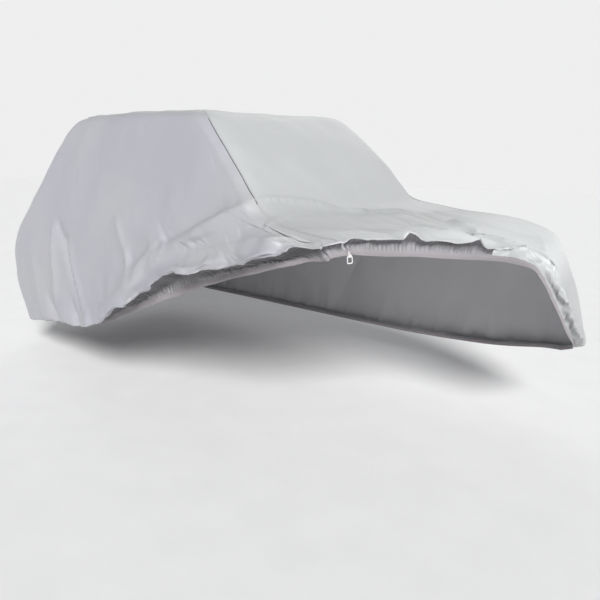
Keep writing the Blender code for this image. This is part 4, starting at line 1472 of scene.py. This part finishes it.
@dataclass
class Panel:
    """One cut of the cloth, as a closed thin sheet."""

    cut: Cut
    outside: bpy.types.Material
    inside: bpy.types.Material
    facing: bpy.types.Material

    def build(self, grid: CoverGrid) -> bpy.types.Object:
        """Makes the sheet from its faces of the grid and dresses it."""
        faces = [face for panel, face in grid.faces if panel == self.cut.name]
        used = sorted({vertex for face in faces for vertex in face})
        place = {vertex: i for i, vertex in enumerate(used)}
        outer = grid.points[used]
        inner = outer - CLOTH * grid.normals[used]
        count = len(used)
        local = [tuple(place[vertex] for vertex in face) for face in faces]
        made = local + [tuple(count + i for i in reversed(face)) for face in local]
        edges = {(face[i - 1], face[i]) for face in local for i in range(len(face))}
        rim = [edge for edge in edges if edge[::-1] not in edges]
        made += [(b, a, count + a, count + b) for a, b in sorted(rim)]
        materials = (self.outside, self.inside, self.facing)
        piece = add_mesh(self.cut.name, np.concatenate([outer, inner]), made, materials)
        which = np.zeros(len(made), np.int32)
        which[: len(local)] = [2 if grid.is_facing(face[0]) else 0 for face in faces]
        which[len(local) : 2 * len(local)] = 1
        piece.data.polygons.foreach_set("material_index", which)
        flat = grid.flat[used]
        set_flat(piece.data, np.concatenate([flat, flat]))
        # Painted light on the outside cloth, as a point attribute.
        painted_light_and_shade = piece.data.attributes.new("painted_light_and_shade", "FLOAT", "POINT")
        painted_light = PaintedLight()
        painted_share = painted_light.side(outer) if self.cut.slot == "side_cloth" else painted_light.centre(outer)
        painted_share = painted_share * grid.painted_light_kept(used)
        painted_light_and_shade.data.foreach_set("value", np.tile(painted_share, 2).astype(np.float32))
        # Painted shade on the facing under the lip, as a point attribute.
        depth = piece.data.attributes.new("depth", "FLOAT", "POINT")
        depth.data.foreach_set("value", np.tile(grid.depth(used), 2).astype(np.float32))
        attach(piece, "root")
        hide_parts(*self.cut.nodes)
        return piece


@dataclass
class HemBand:
    """The elasticated binding: cloth folded over its elastic, sewn all round the hem."""

    grid: CoverGrid
    swell: tuple[float, ...] = tuple(MM * part for part in (0.7, 2.0, 0.9, 2.2, 2.2, 0.9, 2.0, 0.8))
    pucker: float = 0.5 * MM
    pucker_length: float = 14 * MM

    def height(self, step: int, round_it: Array) -> Array:
        """How far the binding's face stands from the middle of the cloth."""
        turn = 2 * math.pi * round_it / self.pucker_length
        wobble = np.sin(turn + 1.3 * np.sin(turn / 4.3))
        middle = math.sin(math.pi * (step + 0.5) / len(self.swell))
        return self.swell[step] + self.pucker * wobble * middle

    def build(self, material: bpy.types.Material) -> bpy.types.Object:
        """Makes the band as one closed ring and dresses it."""
        grid = self.grid
        normals = grid.band_normals()
        rings = []
        steps = len(self.swell)
        order = [(i, 1) for i in range(steps)] + [(i, -1) for i in reversed(range(steps))]
        for step, hand in order:
            points, _ = grid.rail(BAND_WIDTH * step / (steps - 1))
            rise = self.height(step, grid.round_it)
            rings.append(points + (hand * rise - CLOTH / 2)[:, None] * normals)
        faces = swept_faces(len(order), grid.count, True)
        piece = add_mesh("hem_binding", np.concatenate(rings), faces, (material,))
        heights = [BAND_WIDTH * step / (steps - 1) for step, _ in order]
        set_swept_flat(piece.data, grid.round_it, heights)
        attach(piece, "root")
        runs = ("near", "bonnet", "nose", "far", "tail")
        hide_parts(*(f"hem_band_{run}" for run in runs))
        return piece


@dataclass
class SeamRidge:
    """The raised, turned and topstitched edge where two cuts of the cloth are sewn together."""

    name: str
    line: Array
    normals: Array
    across: Array
    width: float = 9 * MM
    rise: float = 3.0 * MM
    # Where one flank of the ridge has painted shade: between these heights, and ahead of this
    # place.
    painted_shade_span: tuple[float, float] = (-0.38, -0.04)
    painted_shade_from: float = 0.5
    section: tuple[tuple[float, float], ...] = (
        (-0.5, -0.35),
        (-0.46, 0.4),
        (-0.2, 0.9),
        (0.12, 1.0),
        (0.4, 0.75),
        (0.5, -0.35),
    )

    def build(self, material: bpy.types.Material, shade: bpy.types.Material) -> bpy.types.Object:
        """Sweeps the ridge's section along its line; beside the glass, one flank has a painted
        shade.
        """
        rings = [
            self.line + sideways * self.width * self.across + up * self.rise * self.normals
            for sideways, up in self.section
        ]
        around, count = len(self.section), len(self.line)
        faces = [face[::-1] for face in swept_faces(around, count, False)]
        piece = add_mesh(self.name, np.concatenate(rings), faces, (material, shade))
        high = (self.line[:, 2] > self.painted_shade_span[0]) & (self.line[:, 2] < self.painted_shade_span[1])
        painted_shade_span = high & (self.line[:, 0] > self.painted_shade_from)
        # The first two faces at each step, on one flank, take the painted shade.
        shaded_faces = np.zeros(len(faces), np.int32)
        for i in range(count - 1):
            shaded_faces[i * around : i * around + 2] = painted_shade_span[i]
        piece.data.polygons.foreach_set("material_index", shaded_faces)
        spread = [place * self.width for place, _ in self.section]
        set_swept_flat(piece.data, distance_along(self.line), spread)
        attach(piece, "root")
        return piece

    def rail(self, sideways: float) -> Array:
        """A line on the ridge for a row of stitches, at a part of its width."""
        lift = self.rise * (1.0 - 0.6 * abs(sideways))
        return self.line + sideways * self.width * self.across + lift * self.normals


@dataclass
class Stitching:
    """Rows of lockstitches set along lines by Geometry Nodes, as one mesh."""

    name: str
    pitch: float = 6 * MM
    length: float = 4.2 * MM
    thread: float = 0.45 * MM

    def tree(self, material: bpy.types.Material) -> bpy.types.NodeTree:
        """The node tree that puts a stitch at each step along the lines."""
        tree = bpy.data.node_groups.new(f"{self.name}_rows", "GeometryNodeTree")
        for label, kind in (
            ("Lines", "NodeSocketGeometry"),
            ("Pitch", "NodeSocketFloat"),
            ("Stitch Length", "NodeSocketFloat"),
            ("Thread Radius", "NodeSocketFloat"),
        ):
            tree.interface.new_socket(label, in_out="INPUT", socket_type=kind)
        tree.interface.new_socket("Stitches", in_out="OUTPUT", socket_type="NodeSocketGeometry")
        given = tree.nodes.new("NodeGroupInput").outputs
        radius = given["Thread Radius"]
        curve = add_node(tree, "GeometryNodeMeshToCurve", "Curve", {"Mesh": given["Lines"]})
        spaced = {"Curve": curve, "Length": given["Pitch"]}
        points = add_node(tree, "GeometryNodeCurveToPoints", "Points", spaced, mode="LENGTH")
        way = {"Vector": points.node.outputs["Tangent"]}
        turn = add_node(tree, "FunctionNodeAlignRotationToVector", "Rotation", way, axis="Z")
        ball = {"Segments": 6, "Rings": 4, "Radius": 1.0}
        ball = add_node(tree, "GeometryNodeMeshUVSphere", "Mesh", ball)
        half = {0: given["Stitch Length"], 1: 0.5}
        half = add_node(tree, "ShaderNodeMath", "Value", half, operation="MULTIPLY")
        size = {"X": radius, "Y": radius, "Z": half}
        size = add_node(tree, "ShaderNodeCombineXYZ", "Vector", size)
        shape = {"Geometry": ball, "Scale": size}
        shape = add_node(tree, "GeometryNodeTransform", "Geometry", shape)
        placed = {"Points": points, "Instance": shape, "Rotation": turn}
        placed = add_node(tree, "GeometryNodeInstanceOnPoints", "Instances", placed)
        real = {"Geometry": placed}
        real = add_node(tree, "GeometryNodeRealizeInstances", "Geometry", real)
        dressed = {"Geometry": real, "Material": material}
        dressed = add_node(tree, "GeometryNodeSetMaterial", "Geometry", dressed)
        set_inputs(tree, tree.nodes.new("NodeGroupOutput"), {"Stitches": dressed})
        return tree

    def build(
        self, lines: Sequence[tuple[Array, bool]], material: bpy.types.Material, slot: str
    ) -> bpy.types.Object:
        """Bakes the stitches along the lines into one mesh.

        Args:
            lines: the points of each line, and whether it is closed.
            material: the thread.
            slot: a material slot; not used.

        Returns:
            The stitches as one object.
        """
        points, edges = [], []
        for line, closed in lines:
            first = len(points)
            points += line.tolist()
            edges += [(first + i, first + i + 1) for i in range(len(line) - 1)]
            if closed:
                edges.append((len(points) - 1, first))
        rails = bpy.data.meshes.new(f"{self.name}_rails")
        rails.from_pydata(points, edges, [])
        source = bpy.data.objects.new(f"{self.name}_rails", rails)
        bpy.context.scene.collection.objects.link(source)
        tree = self.tree(material)
        modifier = source.modifiers.new("stitches", "NODES")
        modifier.node_group = tree
        sizes = {"Pitch": self.pitch, "Stitch Length": self.length, "Thread Radius": self.thread}
        for item in tree.interface.items_tree:
            if item.in_out == "INPUT" and item.name in sizes:
                modifier[item.identifier] = sizes[item.name]
        bpy.context.view_layer.update()
        graph = bpy.context.evaluated_depsgraph_get()
        mesh = bpy.data.meshes.new_from_object(source.evaluated_get(graph))
        mesh.name = self.name
        mesh.shade_smooth()
        source.modifiers.clear()
        bpy.data.objects.remove(source, do_unlink=True)
        piece = bpy.data.objects.new(self.name, mesh)
        bpy.context.scene.collection.objects.link(piece)
        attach(piece, "root")
        return piece


class Lamp(NamedTuple):
    """A far soft lamp that shines at the origin: where it stands, its spread and its power."""

    name: str
    place: tuple[float, float, float]
    angle: float
    power: float


@dataclass
class StudioStage:
    """Floor, light and camera."""

    horizon: tuple[float, float, float] = (0.86, 0.86, 0.865)
    overhead: tuple[float, float, float] = (0.20, 0.205, 0.21)
    gradient: tuple[float, float] = (0.26, 0.55)
    backdrop_way: tuple[float, float] = (-0.62, 0.78)
    backdrop_edges: tuple[float, float] = (-0.45, 0.35)
    room: float = 0.33
    lamps: tuple[Lamp, ...] = (
        Lamp("key", (4.4, -3.9, 4.4), 0.40, 3.75),
        Lamp("far_light", (-2.5, 4.5, 3.0), 0.60, 0.35),
    )
    floor_half: float = 30.0
    floor_finish: PlainFinish = PlainFinish("pale_floor", (0.90, 0.90, 0.90), 0.8, 0.05, 6.0)
    camera_at: tuple[float, float, float] = (2.140, -2.003, -0.2437)
    yaw: float = 128.44
    pitch: float = -16.64
    roll: float = 1.65
    picture: float = 600.0
    focal_pixels: float = 504.72
    centre: tuple[float, float] = (289.31, 316.58)
    sensor: float = 36.0
    sight: tuple[float, float] = (0.05, 60.0)

    def set_up(
        self, name: str, data: bpy.types.ID, at: Sequence[float], ways: tuple
    ) -> bpy.types.Object:
        """Puts a camera or lamp at a place, with the ways of its own three axes."""
        standing = bpy.data.objects.new(name, data)
        axes = np.column_stack([*ways, at])
        standing.matrix_world = Matrix([*axes.tolist(), (0, 0, 0, 1)])
        bpy.context.scene.collection.objects.link(standing)
        return standing

    def camera(self) -> None:
        """Places the camera at the photograph's angle."""
        yaw, pitch, roll = (math.radians(a) for a in (self.yaw, self.pitch, self.roll))
        forward = np.array(
            [math.cos(yaw) * math.cos(pitch), math.sin(yaw) * math.cos(pitch), math.sin(pitch)]
        )
        right = np.array([math.sin(yaw), -math.cos(yaw), 0.0])
        up = np.cross(right, forward)
        turned_right = right * math.cos(roll) + up * math.sin(roll)
        turned_up = up * math.cos(roll) - right * math.sin(roll)
        data = bpy.data.cameras.new("camera")
        data.sensor_width = self.sensor
        data.lens = self.focal_pixels / self.picture * self.sensor
        data.shift_x = (self.picture / 2 - self.centre[0]) / self.picture
        data.shift_y = (self.centre[1] - self.picture / 2) / self.picture
        data.clip_start, data.clip_end = self.sight
        ways = (turned_right, turned_up, -forward)
        bpy.context.scene.camera = self.set_up("camera", data, self.camera_at, ways)

    def floor(self) -> None:
        """Lays the pale floor under the cover."""
        half = self.floor_half
        corners = ((-half, -half), (half, -half), (half, half), (-half, half))
        points = np.array([(x, y, -HELD_HEIGHT) for x, y in corners])
        ground = add_mesh("floor", points, [(0, 1, 2, 3)], (self.floor_finish.material(),))

    def lights(self) -> None:
        """Sets a bright backdrop in a dimmer room, darker overhead, and hangs the lamps."""
        world = bpy.data.worlds.new("surround")
        world.use_nodes = True
        tree = world.node_tree
        way = add_node(tree, "ShaderNodeTexCoord", "Generated", {})
        rising = add_node(tree, "ShaderNodeSeparateXYZ", "Z", {"Vector": way})
        low, high = self.gradient
        rising = {"From Min": low, "From Max": high, "Value": rising}
        kind = {"interpolation_type": "SMOOTHSTEP"}
        share = add_node(tree, "ShaderNodeMapRange", "Result", rising, **kind)
        behind = {0: way, 1: (*self.backdrop_way, 0.0)}
        behind = add_node(tree, "ShaderNodeVectorMath", "Value", behind, operation="DOT_PRODUCT")
        low, high = self.backdrop_edges
        bright = {"From Min": low, "From Max": high, "To Min": self.room, "Value": behind}
        background = {
            "Color": mix_colours(tree, (*self.horizon, 1), (*self.overhead, 1), share),
            "Strength": add_node(tree, "ShaderNodeMapRange", "Result", bright, **kind),
        }
        set_inputs(tree, tree.nodes["Background"], background)
        bpy.context.scene.world = world
        bpy.context.scene.view_settings.view_transform = "Standard"
        for lamp in self.lamps:
            data = bpy.data.lights.new(lamp.name, "SUN")
            data.energy = lamp.power
            data.angle = lamp.angle
            away = unit(np.array(lamp.place))
            sideways = unit(np.cross((0.0, 0.0, 1.0), away))
            self.set_up(lamp.name, data, lamp.place, (sideways, np.cross(away, sideways), away))


@dataclass(frozen=True)
class ClipFrame:
    """Where the clip hangs: a point on the hem's edge and the clip's own three ways."""

    origin: tuple[float, float, float] = (1.2439, -0.5636, -0.5267)
    across: tuple[float, float, float] = (-0.1751, 0.9843, 0.0234)
    up: tuple[float, float, float] = (-0.0918, -0.0400, 0.9950)
    out: tuple[float, float, float] = (0.9803, 0.1720, 0.0974)
    turn: float = -34.0
    turn_about: float = 3.0 * MM
    turn_from: float = 6.0 * MM
    turn_over: float = 11.0 * MM

    def place(self, across: Array, up: Array, out: Array) -> Array:
        """World points from distances in the clip's own ways; below the hem it hangs turned."""
        below = self.turn_from - np.asarray(up)
        turned = -math.radians(self.turn) * smooth(below / self.turn_over)
        cos, sin = np.cos(turned), np.sin(turned)
        ahead = np.asarray(out) - self.turn_about
        across, out = cos * across - sin * ahead, self.turn_about + sin * across + cos * ahead
        ways = [np.asarray(way) for way in (self.across, self.up, self.out)]
        found = sum(np.asarray(part)[..., None] * way for part, way in zip((across, up, out), ways))
        return np.asarray(self.origin) + found


@dataclass
class ClipLoop:
    """The moulded loop: a rounded bar bent to a rectangle, thicker where the strap pulls."""

    frame: ClipFrame
    half: float = 9.5 * MM
    top: float = -4.0 * MM
    bottom: float = -27.0 * MM
    corner: float = 3.0 * MM
    middle: float = 4.2 * MM
    side_bar: float = 1.5 * MM
    cross_bar: float = 2.0 * MM
    depth: float = 2.0 * MM
    square: float = 3.0
    around: int = 14

    def centre_line(self) -> tuple[Array, Array]:
        """Points along the middle of the bar, and the outward way at each."""
        corners = (
            (self.half - self.corner, self.top - self.corner, 0.0),
            (self.corner - self.half, self.top - self.corner, 0.5),
            (self.corner - self.half, self.bottom + self.corner, 1.0),
            (self.half - self.corner, self.bottom + self.corner, 1.5),
        )
        points, ways = [], []
        for across, up, start in corners:
            for turn in (start + np.linspace(0, 0.5, 7)) * math.pi:
                way = (math.cos(turn), math.sin(turn))
                points.append((across + self.corner * way[0], up + self.corner * way[1]))
                ways.append(way)
        return np.array(points), np.array(ways)

    def build(self, material: bpy.types.Material) -> bpy.types.Object:
        """Sweeps the bar's rounded section round the loop."""
        line, ways = self.centre_line()
        turns = np.arange(self.around)[:, None] / self.around * 2 * math.pi
        cos, sin = np.cos(turns), np.sin(turns)
        bulge = (np.abs(cos) ** self.square + np.abs(sin) ** self.square) ** (-1 / self.square)
        half = self.side_bar + (self.cross_bar - self.side_bar) * np.abs(ways[:, 1])
        sideways = half * cos * bulge
        across = line[:, 0] + ways[:, 0] * sideways
        up = line[:, 1] + ways[:, 1] * sideways
        out = self.middle + np.broadcast_to(self.depth * sin * bulge, across.shape)
        points = self.frame.place(across, up, out).reshape(-1, 3)
        faces = swept_faces(self.around, len(line), True)
        piece = add_mesh("clip", points, faces, (material,))
        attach(piece, "root")
        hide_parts("clip_loop")
        return piece


@dataclass
class WebbingTab:
    """The webbing folded through the loop and sewn flat on the hem."""

    frame: ClipFrame
    width: float = 15 * MM
    thick: float = 1.5 * MM
    steps: int = 90
    sewn: tuple[float, float] = (4.6 * MM, 12.4 * MM)
    sewn_inset: float = 2 * MM
    face: float = 3.85 * MM
    route: tuple[tuple[float, float], ...] = (
        (14.0, 1.1),
        (4.0, 1.1),
        (-2.0, 1.1),
        (-6.3, 1.1),
        (-7.0, 1.5),
        (-7.1, 4.2),
        (-7.0, 7.0),
        (-6.3, 7.3),
        (-2.2, 7.2),
        (1.0, 4.9),
        (4.0, 3.0),
        (14.0, 3.0),
    )

    def build(self, material: bpy.types.Material) -> bpy.types.Object:
        """Sweeps the webbing's flat section, with its rounded selvedges, along its route."""
        route = np.array(self.route) * MM
        run = distance_along(route)
        line = curve_through(run, route, np.linspace(0, run[-1], self.steps))
        along = unit(np.gradient(line, axis=0))
        sideways = np.stack([-along[:, 1], along[:, 0]], axis=1)
        half, edge = self.width / 2, self.thick / 2
        selvedge = ((0.3, 0.8), (1.0, 1.0), (2.6, 0.82))
        brow = [(-half + x * edge, y) for x, y in selvedge] + [(0.0, 0.9)]
        brow += [(-x, y) for x, y in reversed(brow[:3])]
        section = [(-half, 0.0), *brow, (half, 0.0), *((x, -y) for x, y in reversed(brow))]
        rings = []
        for across, rise in section:
            place = line + rise * edge * sideways
            rings.append(self.frame.place(np.full(len(line), across), place[:, 0], place[:, 1]))
        faces = swept_faces(len(section), len(line), False)
        piece = add_mesh("webbing", np.concatenate(rings), faces, (material,))
        set_swept_flat(piece.data, distance_along(line), [across for across, _ in section])
        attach(piece, "root")
        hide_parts("webbing_tab")
        return piece

    def stitch_lines(self) -> list[tuple[Array, bool]]:
        """A sewn rectangle that holds both layers on the hem."""
        half = self.width / 2 - self.sewn_inset
        low, high = self.sewn
        across, up = np.array([-half, half, half, -half]), np.array([low, low, high, high])
        return [(self.frame.place(across, up, np.full(4, self.face)), True)]


SEAM_STEP = 4 * MM  # the least distance between the points of a seam's line
SEAM_SMOOTHING = 3
SEAM_ROWS = (0.34, -0.30)  # where the stitches lie across the ridge, as parts of its width
HEM_ROWS = (2, 5)  # the steps of the hem band with a row of stitches
THREAD_LIFT = 0.3 * MM


class CarCover:
    """The whole cover: its grid, panels, hem, seams and stitches."""

    def __init__(self) -> None:
        """Works out the cloth and makes the finishes."""
        self.grid = CoverGrid(CoverForm(), Creasing())
        self.grid.build()
        self.lining = LINING.material()
        self.thread = THREAD.material()
        self.seam_shade = SEAM_SHADE.material()

    def panels(self) -> dict[str, bpy.types.Object]:
        """Makes the cuts of the cloth."""
        side, centre = SIDE_CLOTH.material(), CENTRE_CLOTH.material()
        facing = SHADED_FACING.material()
        made = []
        for cut in CUTS:
            outside = side if cut.slot == "side_cloth" else centre
            made.append(Panel(cut, outside, self.lining, facing))
        return {panel.cut.name: panel.build(self.grid) for panel in made}

    def seam_lines(self) -> dict[str, tuple[Array, Array, Array]]:
        """The lines of the two long seams, with their normals and the ways across them."""
        grid = self.grid
        long, wide = grid.long, grid.wide
        seam_row = grid.rows - 1 - grid.shoulder_rows
        up = range(grid.band_rows, seam_row)
        near = [grid.index(0, row) for row in up]
        near += [grid.index(column, seam_row) for column in range(long + 1)]
        near += [grid.index(long, row) for row in reversed(up)]
        far = [grid.index(long + wide, row) for row in up]
        far += [grid.index(column, seam_row) for column in range(long + wide, 2 * long + wide + 1)]
        far += [grid.index(2 * long + wide, row) for row in reversed(up)]
        lines = {}
        for name, vertices in (("near_seam", near), ("far_seam", far)):
            points, normals = grid.points[vertices], grid.normals[vertices]
            kept = [0]
            for i in range(1, len(points)):
                if np.linalg.norm(points[i] - points[kept[-1]]) > SEAM_STEP:
                    kept.append(i)
            points, normals = points[kept], normals[kept]
            for _ in range(SEAM_SMOOTHING):
                points[1:-1] = (points[:-2] + 2 * points[1:-1] + points[2:]) / 4
                normals[1:-1] = unit(normals[:-2] + 2 * normals[1:-1] + normals[2:])
            along = unit(np.gradient(points, axis=0))
            lines[name] = (points, normals, unit(np.cross(normals, along)))
        return lines

    def seams(self, material: bpy.types.Material) -> list[bpy.types.Object]:
        """Raises the two long seams and sews them down."""
        made, rows = [], []
        for name, (points, normals, across) in self.seam_lines().items():
            ridge = SeamRidge(name, points, normals, across)
            piece = ridge.build(material, self.seam_shade)
            made.append(piece)
            rows += [(ridge.rail(sideways), False) for sideways in SEAM_ROWS]
        made.append(Stitching("seam_stitches").build(rows, self.thread, "side_cloth"))
        return made

    def hem(self) -> list[bpy.types.Object]:
        """Binds the hem and sews its rows of stitches."""
        band = HemBand(self.grid)
        made = [band.build(BINDING.material())]
        normals = self.grid.band_normals()
        rows = []
        for step in HEM_ROWS:
            points, _ = self.grid.rail(BAND_WIDTH * step / (len(band.swell) - 1))
            rise = band.height(step, self.grid.round_it) - CLOTH / 2 + THREAD_LIFT
            rows.append((points + rise[:, None] * normals, True))
        made.append(Stitching("hem_stitches").build(rows, self.thread, "hem_binding"))
        return made


def main() -> None:
    """Builds the stage and the cover, piece by piece."""
    logging.basicConfig(level=logging.INFO, format="%(message)s")
    stage = StudioStage()
    stage.camera()
    stage.floor()
    stage.lights()
    LOG.info("stage set")
    cover = CarCover()
    LOG.info("cloth worked out: hem %.2f m", cover.grid.hem_length)
    panels = cover.panels()
    for name, piece in panels.items():
        LOG.info("%s: %d faces", name, len(piece.data.polygons))
    hem = cover.hem()
    seams = cover.seams(CENTRE_CLOTH.material())
    frame_of_clip = ClipFrame()
    tab = WebbingTab(frame_of_clip)
    clip = [ClipLoop(frame_of_clip).build(CLIP_PLASTIC.material()), tab.build(WEBBING.material())]
    stitching = Stitching("tab_stitches", 2.4 * MM, 2.0 * MM, 0.35 * MM)
    clip.append(stitching.build(tab.stitch_lines(), DARK_THREAD.material(), "webbing"))
    for piece in hem + seams + clip:
        LOG.info("%s: %d faces", piece.name, len(piece.data.polygons))


if __name__ == "__main__":
    main()
